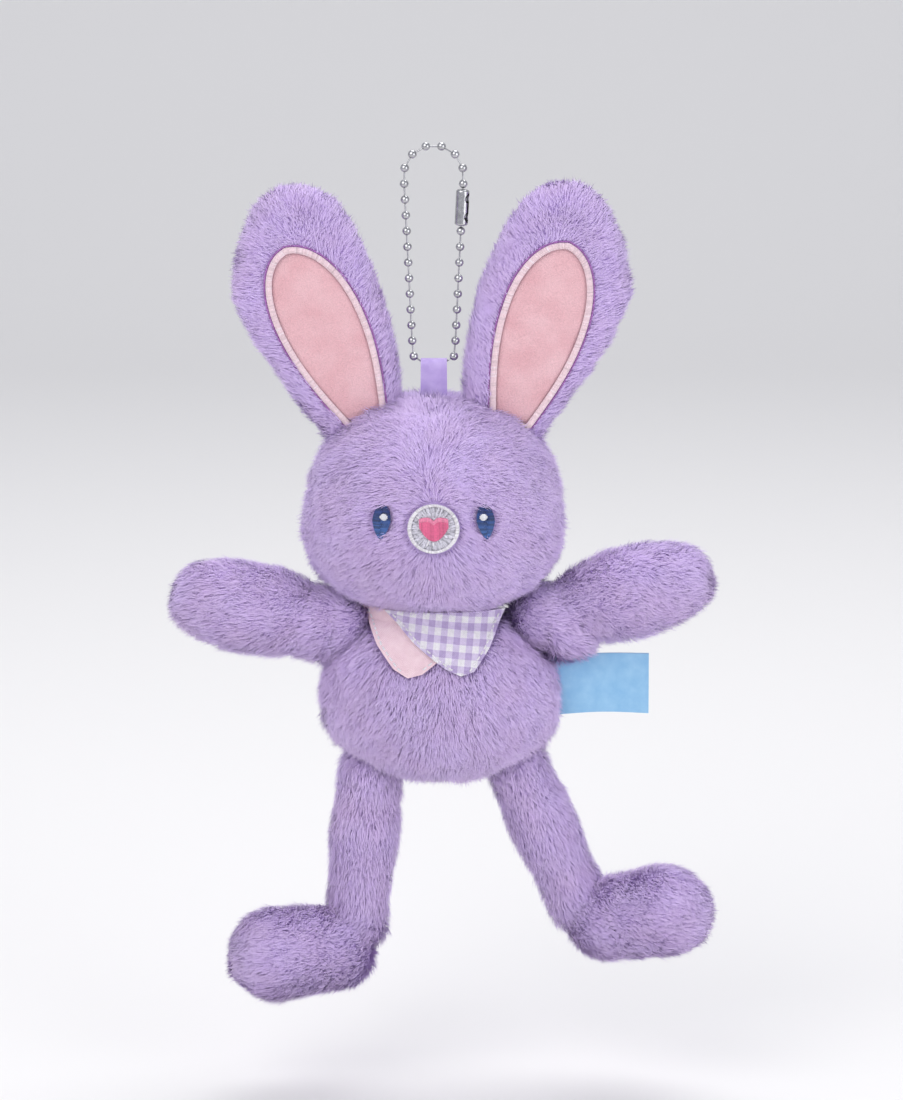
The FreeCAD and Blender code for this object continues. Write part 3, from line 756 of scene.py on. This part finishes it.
FACE_OVALS = [(0, MUZZLE_Z, MUZZLE_R, MUZZLE_R * 0.96)] + [
    (sign * EYE_X, EYE_Z, EYE_HALF[0] * 0.8, EYE_HALF[1] * 0.85) for _, sign in SIDES
]


def head_keep(p, n):
    bare = np.zeros(len(p), bool)
    for oval in FACE_OVALS:
        bare |= in_face(p, n, *oval)
    return ~bare


def head_short(p, n, lean):
    """Strands that would lie over the eyes or the muzzle are trimmed."""
    share = np.ones(len(p))
    for x, z, half_x, half_z in FACE_OVALS:
        for step in (0.35, 0.7, 1.0):
            covered = in_face(p + lean * step, n, x, z, half_x, half_z)
            share[covered] = np.minimum(share[covered], 0.35 * step + 0.1)
    return share


SCARF_TIPS = {
    "plain": [
        (-17.4, -102.2), (-13.6, -110.2), (-9.6, -115.4), (-6.2, -117.4), (-2.8, -116.4), (2.0, -112.6), (6.4, -102.2)
    ],
    "check": [
        (-12.2, -102.2), (-4.6, -109.4), (2.6, -114.9), (6.4, -116.6), (9.6, -115.6), (13.2, -110.6), (17.2, -102.2)
    ],
}


def inside_polygon(x, z, polygon):
    """Which points lie inside a polygon, by counting the edges that a ray crosses."""
    inside = np.zeros(len(x), bool)
    for (x1, z1), (x2, z2) in zip(polygon, polygon[1:] + polygon[:1]):
        crosses = (z1 > z) != (z2 > z)
        with np.errstate(divide="ignore", invalid="ignore"):
            at = (x2 - x1) * (z - z1) / (z2 - z1) + x1
        inside ^= crosses & (x < at)
    return inside


def torso_short(p, n, lean):
    """The pile is pressed flat under the neckerchief."""
    share = np.ones(len(p))
    for polygon in SCARF_TIPS.values():
        scaled = [(x * MM, z * MM) for x, z in polygon]
        covered = inside_polygon(p[:, 0], p[:, 2], scaled) & (n[:, 1] < 0)
        share[covered] = 0.25
    return share


LINING_LOW, LINING_HIGH, LINING_HALF = -3.0 * MM, 42.4 * MM, 10.2 * MM
LINING_SHIFT = 1.2 * MM
LINING_LEAN = {"left": 0.0, "right": math.tan(math.radians(5))}  # more than the ear's own


def lining_half_width(t):
    """Half width of the lining with its border, at a share of its length."""
    t = np.clip(t, 0, 1)
    body = 0.48 + 0.52 * np.sin(np.clip(t / 0.58, 0, 1) * math.pi / 2)
    top = np.sqrt(np.clip(1 - (np.clip(t - 0.58, 0, 1) / 0.42) ** 2.2, 0, 1))
    return LINING_HALF * body * top


def lining_middle(side, s):
    """How far outward the lining's middle line lies on the ear, at a distance along it."""
    return LINING_SHIFT + (s - 22 * MM) * LINING_LEAN[side]


def ear_keep(side, sign):
    seat, across, along = ear_axes(side, sign)

    def keep(p, n):
        s = (p - seat) @ along
        x = (p - seat) @ across - sign * lining_middle(side, s)
        share = (s - LINING_LOW) / (LINING_HIGH - LINING_LOW)
        lined = (np.abs(x) < lining_half_width(share)) & (share > 0) & (share < 1) & (n[:, 1] < -0.3)
        return ~lined

    return keep


def ear_flow(side, sign):
    """Out from the lining and up to the tip."""
    seat, across, along = ear_axes(side, sign)

    def flow(p, n):
        x = ((p - seat) @ across / (11 * MM))[:, None]
        return across * x * 0.8 + along * 0.7

    return flow


comb("head_pile", "head", "head", head_flow, 14, 4.0 * MM, 31, keep=head_keep, short=head_short)
comb("torso_pile", "torso", "torso", torso_flow, 14, 4.1 * MM, 37, short=torso_short, others=("head",))
for side, sign in SIDES:
    seed = 41 + 10 * (sign + 1)
    comb(
        f"{side}_arm_pile", f"{side}_arm", f"{side}_arm", limb_flow(limb_direction(side, "arm")[1]),
        13, 3.5 * MM, seed, others=("torso",),
    )
    comb(
        f"{side}_leg_pile", f"{side}_leg", f"{side}_leg", leg_flow(side, sign), 13, 3.4 * MM, seed + 3,
        others=("torso",),
    )
    comb(
        f"{side}_ear_pile", f"{side}_ear", f"{side}_ear", ear_flow(side, sign), 13, 3.3 * MM, seed + 6,
        keep=ear_keep(side, sign), others=("head",), lift=0.6,
    )


# ================================================================ embroidery


def stitches(name, starts, ends, outward, height, width, colours, body, stands_for=()):
    """Satin stitches: arched ridges of thread from each start to its end."""
    starts, ends, outward = (np.asarray(v, float) for v in (starts, ends, outward))
    count, steps = len(starts), 6
    t = np.linspace(0, 1, steps)[None, :, None]
    line = starts[:, None] + (ends - starts)[:, None] * t
    arch = height * (0.25 + 0.75 * np.sqrt(np.clip(4 * t * (1 - t), 0, 1)))
    line = line + outward[:, None] * arch
    side = unit(np.cross(ends - starts, outward))[:, None]
    half = width / 2
    ring = np.stack(
        [line - side * half - outward[:, None] * half * 0.8, line + outward[:, None] * half * 0.5,
         line + side * half - outward[:, None] * half * 0.8],
        2,
    )
    verts = ring.reshape(-1, 3)
    base = (np.arange(count) * steps * 3)[:, None, None] + (np.arange(steps - 1) * 3)[None, :, None]
    base = base + np.arange(2)[None, None, :]
    faces = np.stack([base, base + 1, base + 4, base + 3], -1).reshape(-1, 4)
    made = build(name, verts, faces)
    set_points(made.data, "thread_colour", np.repeat(np.asarray(colours, float), steps * 3, 0))
    made.data.materials.append(THREAD)
    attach(made, body)
    if stands_for:
        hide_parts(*stands_for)
    return made


def face_points(x, z, off):
    """Points that lie off the front of the head's cloth."""
    found = []
    for px, pz in zip(x, z):
        hit, _, _, _ = TREES["head"].ray_cast(Vector((px, -0.1, pz)), Vector((0, 1, 0)))
        found.append(hit[:])
    points = np.array(found)
    points[:, 1] -= off
    return points


def face_normals(points):
    found = [TREES["head"].find_nearest(Vector(p))[1][:] for p in points]
    return np.array(found)


def face_stitches(name, x1, z1, x2, z2, off, height, width, colours, slot, stands_for=()):
    starts, ends = face_points(x1, z1, off), face_points(x2, z2, off)
    return stitches(
        name, starts, ends, face_normals((starts + ends) / 2), height, width, colours, "head", stands_for
    )


def tinted(colour, count, rng, amount=0.1):
    """Rows of one colour with a little variation from stitch to stitch."""
    return np.clip(np.array(colour)[None] * (1 + amount * rng.standard_normal((count, 1))), 0, 1)


def face_disc(name, half_x, half_z, x, z, off, dome, colour, stands_for=()):
    """The domed ground of a patch, under its stitches."""
    rings, around = 14, 72
    r = np.linspace(0, 1, rings)[:, None]
    a = np.linspace(0, 2 * math.pi, around, endpoint=False)[None]
    px = (x + half_x * r * np.cos(a)).ravel()
    pz = (z + half_z * r * np.sin(a)).ravel()
    points = face_points(px, pz, off)
    lift = dome * np.sqrt(np.clip(1 - np.repeat(r.ravel(), around) ** 4, 0, 1))
    points[:, 1] -= lift - dome
    faces = []
    for i in range(rings - 1):
        for j in range(around):
            k = (j + 1) % around
            faces.append((i * around + j, i * around + k, (i + 1) * around + k, (i + 1) * around + j))
    made = build(name, points, faces)
    set_points(made.data, "thread_colour", np.repeat(np.array([colour], float), len(points), 0))
    made.data.materials.append(THREAD)
    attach(made, "head")
    if stands_for:
        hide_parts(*stands_for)
    return made


MUZZLE_OFF = 1.3 * MM


def make_muzzle():
    """A silver-white patch: radial fill between a bright rim and the heart."""
    rng = np.random.default_rng(5)
    face_disc(
        "muzzle_ground", 5.9 * MM, 5.7 * MM, 0, MUZZLE_Z, MUZZLE_OFF, 0.5 * MM, (0.60, 0.60, 0.66),
        ["muzzle_patch"],
    )
    count = 150
    a = np.linspace(0, 2 * math.pi, count, endpoint=False)
    inner, outer = 5.15 * MM, 6.1 * MM
    face_stitches(
        "muzzle_rim", np.cos(a) * inner, MUZZLE_Z + np.sin(a) * inner, np.cos(a + 0.05) * outer,
        MUZZLE_Z + np.sin(a + 0.05) * outer * 0.96, MUZZLE_OFF, 0.55 * MM, 0.30 * MM,
        tinted((0.88, 0.86, 0.90), count, rng, 0.10), "muzzle_thread",
    )
    rows = []
    for ring_inner, ring_outer, n in ((3.9, 5.1, 110), (2.8, 4.1, 84), (1.6, 3.0, 56)):
        a = np.linspace(0, 2 * math.pi, n, endpoint=False) + rng.normal(0, 0.02, n)
        r1 = (ring_inner + rng.normal(0, 0.25, n)) * MM
        r2 = (ring_outer + rng.normal(0, 0.2, n)) * MM
        rows.append(np.stack([np.cos(a) * r1, MUZZLE_Z + np.sin(a) * r1, np.cos(a) * r2, MUZZLE_Z + np.sin(a) * r2], 1))
    rows = np.concatenate(rows)
    face_stitches(
        "muzzle_fill", *rows.T, MUZZLE_OFF, 0.3 * MM, 0.30 * MM,
        tinted((0.70, 0.68, 0.77), len(rows), rng, 0.18), "muzzle_thread",
    )


def heart_half_height(x):
    """(top, bottom) of the heart at a share of its half width."""
    x = np.abs(x)
    top = 0.60 + 0.37 * np.sqrt(np.clip(1 - ((x - 0.5) / 0.62) ** 2, 0, 1)) - 0.45 * np.clip(0.3 - x, 0, 1)
    bottom = -1.0 + 1.1 * x**2
    return top, np.minimum(bottom, top - 0.15)


def make_nose():
    """A padded heart of pink satin stitch, sewn in upright lines."""
    rng = np.random.default_rng(6)
    lines = np.linspace(-0.97, 0.97, 30)
    top, bottom = heart_half_height(lines)
    half_w, half_h = 3.35 * MM, 2.85 * MM
    x = lines * half_w
    shade = np.linspace(1.0, 0.9, len(lines))[:, None]
    colours = tinted((0.86, 0.16, 0.33), len(lines), rng, 0.07) * shade
    face_stitches(
        "nose_heart", x, MUZZLE_Z + top * half_h, x + 0.1 * MM, MUZZLE_Z + bottom * half_h, MUZZLE_OFF + 0.3 * MM,
        0.55 * MM, 0.34 * MM, colours, "nose_thread", ["heart_nose"],
    )
    upper = top > 0.62
    face_stitches(
        "nose_highlight", x[upper], MUZZLE_Z + (top[upper] - 0.02) * half_h, x[upper],
        MUZZLE_Z + (top[upper] - 0.4) * half_h, MUZZLE_OFF + 0.45 * MM, 0.5 * MM, 0.3 * MM,
        tinted((0.92, 0.28, 0.45), int(upper.sum()), rng, 0.08), "nose_thread",
    )


def eye_colour(u, v, sign):
    """Denim blue: darkest round the rim and at the top, lighter low on the nose side."""
    rim = np.clip(np.abs(u) ** 2 + np.abs(v) ** 3, 0, 1)
    low = np.clip(0.5 - v * 0.5, 0, 1)
    dark, mid, light = np.array([0.012, 0.035, 0.16]), np.array([0.03, 0.11, 0.40]), np.array([0.12, 0.28, 0.62])
    mix = np.clip(low * 0.9 - rim * 0.4, 0, 1)[:, None]
    return dark * (1 - mix) + mid * mix * 0.6 + light * mix**2 * 0.7


def make_eye(side, sign):
    """An upright oval of crosswise stitches that tapers to a point below, with a white glint."""
    rng = np.random.default_rng(8 + sign)
    z = np.linspace(0.96, -0.98, 27)
    half = np.sqrt(np.clip(1 - z**2, 0, 1)) * np.where(z < 0, 1 + 0.35 * z, 1.0)
    x_middle = sign * (EYE_X + 0.35 * MM * (-z))
    starts = x_middle - half * EYE_HALF[0]
    ends = x_middle + half * EYE_HALF[0]
    level = EYE_Z + z * EYE_HALF[1]
    x1, x2, zs, colours = [], [], [], []
    for i in range(len(z)):
        cut = starts[i] + (ends[i] - starts[i]) * rng.uniform(0.4, 0.6)
        for a, b in ((starts[i], cut), (cut, ends[i])):
            x1.append(a)
            x2.append(b)
            zs.append(level[i])
            u = ((a + b) / 2 - sign * EYE_X) / EYE_HALF[0]
            colours.append(eye_colour(np.array([u]), np.array([z[i]]), sign)[0] * rng.uniform(0.6, 1.5))
    x1, x2, zs = np.array(x1), np.array(x2), np.array(zs)
    face_stitches(
        f"{side}_eye_stitches", x1, zs, x2, zs - 0.08 * MM, 1.25 * MM, 0.35 * MM, 0.36 * MM, np.array(colours),
        "eye_thread", [f"{side}_eye"],
    )
    lines = np.linspace(-0.9, 0.9, 7)
    gx = sign * (EYE_X - 0.55 * MM)
    gz = EYE_Z + 1.1 * MM
    reach = np.sqrt(1 - lines**2) * 0.8 * MM
    face_stitches(
        f"{side}_eye_light", gx + lines * 0.85 * MM, gz + reach, gx + lines * 0.85 * MM, gz - reach, 1.6 * MM,
        0.35 * MM, 0.3 * MM, tinted((0.86, 0.87, 0.90), 7, rng, 0.04), "glint_thread", [f"{side}_eye_glint"],
    )


make_muzzle()
make_nose()
for side, sign in SIDES:
    make_eye(side, sign)


# ================================================================ ear linings


def lining_rim(side, sign, count, grow):
    """Evenly spaced points round the lining, with the outward direction in the ear's plane."""
    seat, across, along = ear_axes(side, sign)
    t = np.concatenate([np.linspace(0.0, 0.86, 160), 0.86 + 0.14 * np.sin(np.linspace(0, math.pi / 2, 120))])
    half = lining_half_width(t) - 0.6 * MM + grow
    length = LINING_HIGH - LINING_LOW
    s = LINING_LOW + 0.6 * MM + t * (length - 1.2 * MM)
    s = s + grow * np.clip((t - 0.9) / 0.1, 0, 1)
    right = np.stack([half, s], 1)
    base = np.stack([np.linspace(-1, 1, 60) * half[0], np.full(60, s[0] - grow)], 1)
    outline = np.concatenate([base, right, right[::-1] * [-1, 1]])
    # Even spacing along the closed outline
    closed = np.concatenate([outline, outline[:1]])
    steps = np.linalg.norm(np.diff(closed, axis=0), axis=1)
    keep = np.concatenate([[True], steps > 1e-7])
    closed = closed[keep]
    run = np.concatenate([[0], np.cumsum(np.linalg.norm(np.diff(closed, axis=0), axis=1))])
    at = np.linspace(0, run[-1], count, endpoint=False)
    plane = np.stack([np.interp(at, run, closed[:, 0]), np.interp(at, run, closed[:, 1])], 1)
    for _ in range(3):
        plane = (np.roll(plane, 1, 0) + plane * 2 + np.roll(plane, -1, 0)) / 4
    tangent = unit(np.roll(plane, -1, 0) - np.roll(plane, 1, 0))
    out = np.stack([tangent[:, 1], -tangent[:, 0]], 1)
    middle = sign * lining_middle(side, plane[:, 1:])
    points = seat + (plane[:, :1] + middle) * across + plane[:, 1:] * along
    outward = out[:, :1] * across + out[:, 1:] * along
    return points, outward, plane


def ear_front(tree, points, off):
    """Moves points on to the front of an ear, off its cloth."""
    moved = points.copy()
    hits = [tree.ray_cast(Vector((p[0], -0.05, p[2])), Vector((0, 1, 0)))[0] for p in points]
    found = [hit[1] for hit in hits if hit is not None]
    for i, hit in enumerate(hits):
        moved[i, 1] = (hit[1] if hit is not None else np.mean(found)) - off
    return moved


def make_lining(side, sign):
    """A softly padded pink panel, its satin border and the thin seam line round it."""
    rng = np.random.default_rng(60 + sign)
    tree = TREES[f"{side}_ear"]
    rim, outward, _ = lining_rim(side, sign, 160, 0.0)
    centre_line = rim.mean(0)
    rings = 16
    verts, faces = [], []
    for r in np.linspace(0, 1, rings):
        ring = centre_line + (rim - centre_line) * r
        ring = ear_front(tree, ring, 0)
        puff = 1.15 * MM * math.sqrt(max(0.0, 1 - r**3)) + 0.15 * MM
        ring[:, 1] -= puff + 0.14 * MM * smooth_noise(ring, 5 * MM, 3)
        verts.append(ring)
    n = len(rim)
    for i in range(rings - 1):
        for j in range(n):
            k = (j + 1) % n
            faces.append((i * n + j, i * n + k, (i + 1) * n + k, (i + 1) * n + j))
    panel = build(f"{side}_ear_velboa", np.concatenate(verts), faces)
    panel.data.materials.append(LINING)
    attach(panel, f"{side}_ear")
    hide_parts(f"{side}_ear_lining")
    count = 380
    rim, outward, _ = lining_rim(side, sign, count, 0.0)
    slant = unit(np.roll(rim, -1, 0) - rim) * 0.25 * MM
    starts = ear_front(tree, rim - outward * 0.75 * MM, 0.95 * MM)
    ends = ear_front(tree, rim + outward * 0.75 * MM + slant, 0.85 * MM)
    stitches(
        f"{side}_ear_satin_border", starts, ends, np.repeat(FRONT[None], count, 0), 0.65 * MM, 0.34 * MM,
        tinted((0.96, 0.74, 0.79), count, rng, 0.07), f"{side}_ear", [f"{side}_ear_lining_border"],
    )
    count = 150
    rim, outward, _ = lining_rim(side, sign, count, 0.0)
    line = ear_front(tree, rim + outward * 1.05 * MM, 0.75 * MM)
    stitches(
        f"{side}_ear_seam_line", line, np.roll(line, -1, 0), np.repeat(FRONT[None], count, 0), 0.2 * MM, 0.42 * MM,
        tinted((0.42, 0.16, 0.50), count, rng, 0.08), f"{side}_ear",
    )


for side, sign in SIDES:
    make_lining(side, sign)


# ================================================================ cloth


def cloth_map(mesh, flat):
    """A map in millimetres of the cloth's own plane."""
    index = np.empty(len(mesh.loops), np.int32)
    mesh.loops.foreach_get("vertex_index", index)
    layer = mesh.uv_layers.new(name="cloth")
    layer.data.foreach_set("uv", flat[index].astype(np.float32).ravel())


def sheet_mesh(name, grid, flat, thick, outward):
    """A sheet with two faces and closed edges, from a grid of points and their places in the flat cloth."""
    rows, columns = grid.shape[:2]
    front = grid.reshape(-1, 3)
    back = (grid - outward * thick).reshape(-1, 3)
    count = rows * columns
    faces = []
    for i in range(rows - 1):
        for j in range(columns - 1):
            a, b = i * columns + j, (i + 1) * columns + j
            faces.append((a, b, b + 1, a + 1))
            faces.append((a + count, a + 1 + count, b + 1 + count, b + count))
    rim = [j for j in range(columns)] + [i * columns + columns - 1 for i in range(1, rows)]
    rim += [(rows - 1) * columns + j for j in range(columns - 2, -1, -1)]
    rim += [i * columns for i in range(rows - 2, 0, -1)]
    for a, b in zip(rim, rim[1:] + rim[:1]):
        faces.append((a, b, b + count, a + count))
    made = build(name, np.concatenate([front, back]), faces)
    made.data.set_sharp_from_angle(angle=math.radians(50))
    flat = flat.reshape(-1, 2)
    cloth_map(made.data, np.concatenate([flat, flat]))
    return made


def outline_at(polygon, z):
    """(lowest x, highest x) of a polygon at a height."""
    found = []
    for (x1, z1), (x2, z2) in zip(polygon, polygon[1:] + polygon[:1]):
        if (z1 - z) * (z2 - z) <= 0 and z1 != z2:
            found.append(x1 + (x2 - x1) * (z - z1) / (z2 - z1))
    return min(found), max(found)


def chest_depth(x, z, off):
    """How far forward cloth lies on the chest, bridging the hollow under the chin."""
    a, b, c, power = 27.3, 17.5, 21.5, 2.6
    level = np.minimum((z - (-124.1)) / c, 0.86)
    ring = np.clip(1 - np.abs(level) ** power, 0.02, 1) ** (1 / power)
    across = np.clip(1 - ((x - 1.6) / (a * ring)) ** 2, 0.02, 1)
    return -(b * ring * np.sqrt(across) + off)


def make_flap(name, polygon, off, curl, material, node_name, turn, seed):
    """One flap of the neckerchief with its turned-in edge and its topstitching."""
    rng = np.random.default_rng(seed)
    top, low = max(z for _, z in polygon) - 0.4, min(z for _, z in polygon) + 0.05
    rows, columns = 44, 40
    grid, flat = np.zeros((rows, columns, 3)), np.zeros((rows, columns, 2))
    for i in range(rows):
        z = top + (low - top) * (i / (rows - 1))
        left, right = outline_at(polygon, z)
        x = np.linspace(left, right, columns)
        edge = np.minimum(x - left, right - x)
        drop = (top - z) / (top - low)
        y = chest_depth(x, np.full(columns, z), off)
        y = y - curl * drop**2 - 0.35 * np.exp(-((edge - 0.2) ** 2) / 0.5)
        y = y - 0.25 * np.sin(x * 0.55 + seed) * drop
        grid[i] = np.stack([x, y, np.full(columns, z)], 1) * MM
        c, s = math.cos(turn), math.sin(turn)
        flat[i] = np.stack([x * c - z * s, x * s + z * c], 1)
    made = sheet_mesh(name, grid, flat, 0.4 * MM, FRONT)
    made.data.materials.append(material)
    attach(made, "scarf_flaps")
    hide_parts(node_name)
    area = sum(
        x1 * z2 - x2 * z1 for (x1, z1), (x2, z2) in zip(polygon, polygon[1:] + polygon[:1])
    )
    area = abs(area) / 2 * MM * MM * 1.12
    stitch = topstitch(f"{name}_topstitch", grid, 1.1, rng)
    return made


def topstitch(name, grid, inset, rng):
    """Dashes of white thread along a flap's two free edges."""
    rows, columns = grid.shape[:2]
    starts, ends = [], []
    for side in (0, 1):
        path = []
        for i in range(2, rows - 3):
            line = grid[i]
            width = line[-1, 0] - line[0, 0]
            share = inset * MM / max(width, 1e-6)
            if share > 0.45:
                break
            k = (share if side == 0 else 1 - share) * (columns - 1)
            j = min(int(k), columns - 2)
            path.append(line[j] + (line[j + 1] - line[j]) * (k - j))
        path = np.array(path)
        run = np.concatenate([[0], np.cumsum(np.linalg.norm(np.diff(path, axis=0), axis=1))])
        at = 0.3 * MM
        while at + 1.1 * MM < run[-1]:
            pair = [np.array([np.interp(s, run, path[:, k]) for k in range(3)]) for s in (at, at + 1.1 * MM)]
            starts.append(pair[0])
            ends.append(pair[1])
            at += 1.65 * MM
    count = len(starts)
    return stitches(
        name, starts, ends, np.repeat(FRONT[None], count, 0), 0.3 * MM, 0.42 * MM,
        tinted((0.86, 0.83, 0.88), count, rng, 0.04), "scarf_flaps",
    )


make_flap(
    "scarf_plain_cloth", SCARF_TIPS["plain"], 1.5, 0.5, COTTON, "scarf_plain_flap", 0.0, 2
)
make_flap(
    "scarf_check_cloth", SCARF_TIPS["check"], 2.2, 0.6, GINGHAM, "scarf_check_flap", 0.10, 3
)


def make_band():
    """The rolled band round the neck that the flaps are sewn under."""
    around, section = 120, 12
    verts, flat = [], []
    for i in range(around):
        a = 2 * math.pi * i / around
        radial = np.array([math.cos(a), math.sin(a), 0])
        for j in range(section):
            b = 2 * math.pi * j / section
            r = 10.9 + 0.65 * math.cos(b) + 0.12 * math.sin(a * 9)
            z = -104.85 + 1.0 * math.sin(b)
            verts.append((np.array([TORSO_X / MM, 0, 0]) + radial * r + UP * z) * MM)
            flat.append((a * 10.9, b * 0.8))
    faces = []
    for i in range(around):
        for j in range(section):
            k, m = (i + 1) % around, (j + 1) % section
            faces.append((i * section + j, k * section + j, k * section + m, i * section + m))
    made = build("scarf_band_cloth", verts, faces)
    cloth_map(made.data, np.array(flat))
    made.data.materials.append(GINGHAM)
    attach(made, "torso")
    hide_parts("scarf_neck_band")


make_band()


def make_label():
    """A bare folded strip of light blue satin that curls a little at its free end."""
    low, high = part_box("side_label")
    rows, columns = 30, 60
    grid, flat = np.zeros((rows, columns, 3)), np.zeros((rows, columns, 2))
    length, height = high.x - low.x + 1.5 * MM, high.z - low.z
    for i in range(rows):
        v = i / (rows - 1)
        for j in range(columns):
            u = j / (columns - 1)
            x = low.x - 1.5 * MM + (length + 1.5 * MM) * u
            z = high.z - height * v + 1.0 * MM * u**1.5 + 0.4 * MM * math.sin(u * 4)
            y = -0.55 * MM - 2.2 * MM * (u - 0.35) ** 2 - 0.5 * MM * math.sin(u * 5 + v) - 0.8 * MM * u * v
            grid[i, j] = (x, y, z)
            flat[i, j] = (x / MM, z / MM)
    made = sheet_mesh("side_label_cloth", grid, flat, 0.7 * MM, FRONT)
    made.data.materials.append(LABEL)
    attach(made, "label")
    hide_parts("side_label")


make_label()


def make_ribbon():
    """Satin ribbon round the chain's lowest balls, gathered into the crown."""
    low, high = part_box("ribbon_loop")
    half = (high.x - low.x) / 2
    axis_z = joint_point("charm_swing")[2]
    foot = joint_point("ribbon_bend")[2] - 1.5 * MM
    section = []
    for k in range(13):
        a = math.pi * k / 12
        section.append((1.58 * MM * math.cos(a), axis_z + 1.58 * MM * math.sin(a)))
    for k in range(1, 15):
        t = k / 14
        section.append((-1.58 * MM + (1.58 - 0.45) * MM * t, axis_z + (foot - axis_z) * t))
    front = [(1.58 * MM - (1.58 - 0.45) * MM * (k / 14), axis_z + (foot - axis_z) * k / 14) for k in range(14, 0, -1)]
    path = front + section
    columns = 22
    rows = len(path)
    grid, flat = np.zeros((rows, columns, 3)), np.zeros((rows, columns, 2))
    run = 0.0
    for i, (y, z) in enumerate(path):
        if i:
            run += math.hypot(y - path[i - 1][0], z - path[i - 1][1])
        drop = max(0.0, (axis_z - z) / (axis_z - foot))
        for j in range(columns):
            u = j / (columns - 1) * 2 - 1
            x = u * half * (1 + 0.04 * drop)
            bow = 0.25 * MM * (1 - u * u) * drop * (1 if y > 0 else -1)
            grid[i, j] = (x, y + bow, z + 0.15 * MM * u * u * drop)
            flat[i, j] = (x / MM, run / MM)
    tangent = np.gradient(grid, axis=0)
    across = np.gradient(grid, axis=1)
    outward = unit(np.cross(across, tangent))
    if outward[0, columns // 2, 1] < 0:
        outward = -outward
    made = sheet_mesh("ribbon_satin", grid, flat, 0.3 * MM, outward)
    made.data.materials.append(RIBBON)
    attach(made, "ribbon")
    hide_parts("ribbon_loop")


make_ribbon()


# ================================================================ metal

for name in ("chain_balls", "chain_links", "chain_connector"):
    nodes[name].data.materials.clear()
    nodes[name].data.materials.append(STEEL)
    nodes[name].data.polygons.foreach_set("use_smooth", [True] * len(nodes[name].data.polygons))


# ================================================================ room, light and camera


def make_room():
    """A pale floor that curves up into a plain wall behind."""
    floor_z, depth, wall = -0.222, 1.6, 1.6
    profile = [(-1.2, floor_z)]
    bend = 0.5
    for k in range(13):
        a = math.pi / 2 * k / 12
        profile.append((depth - bend + bend * math.sin(a), floor_z + bend - bend * math.cos(a)))
    profile.append((depth, floor_z + wall))
    verts = [(x, y, z) for y, z in profile for x in (-2.5, 2.5)]
    faces = [(2 * i, 2 * i + 1, 2 * i + 3, 2 * i + 2) for i in range(len(profile) - 1)]
    room = build("room", verts, faces)
    material, tree, shader = new_material("room")
    shader.inputs["Base Color"].default_value = (0.86, 0.85, 0.84, 1)
    shader.inputs["Roughness"].default_value = 0.9
    room.data.materials.append(material)


def make_light(name, place, aim, size, power, colour=(1, 1, 1)):
    data = bpy.data.lights.new(name, "AREA")
    data.shape = "DISK"
    data.size = size
    data.energy = power
    data.color = colour
    light = bpy.data.objects.new(name, data)
    light.location = place
    light.rotation_mode = "QUATERNION"
    light.rotation_quaternion = (Vector(aim) - Vector(place)).to_track_quat("-Z", "Y")
    bpy.context.scene.collection.objects.link(light)


def make_camera():
    """Looks down a little at the middle of the picture's height, from about a metre away."""
    aim = Vector((0.0042, 0.0, -0.0901))
    rise, distance = math.radians(11.5), 1.0
    data = bpy.data.cameras.new("camera")
    data.sensor_width = 36
    data.lens = 136.4
    camera = bpy.data.objects.new("camera", data)
    back = Vector((0, -math.cos(rise), math.sin(rise)))
    camera.location = aim + back * distance
    camera.rotation_mode = "QUATERNION"
    camera.rotation_quaternion = (-back).to_track_quat("-Z", "Y")
    bpy.context.scene.collection.objects.link(camera)
    bpy.context.scene.camera = camera


make_room()
make_light("key", (-0.55, -0.75, 0.65), (0, 0, -0.1), 1.1, 6.2, (1.0, 0.98, 0.96))
make_light("fill", (0.9, -0.8, 0.15), (0, 0, -0.1), 0.9, 4.6, (0.97, 0.98, 1.0))
make_light("top", (0.1, 0.35, 0.8), (0, 0, -0.1), 0.7, 4.4)
world = bpy.data.worlds.new("world")
world.use_nodes = True
world.node_tree.nodes["Background"].inputs[0].default_value = (0.9, 0.92, 1.0, 1)
world.node_tree.nodes["Background"].inputs[1].default_value = 0.6
bpy.context.scene.world = world
bpy.context.scene.view_settings.view_transform = "Standard"
make_camera()
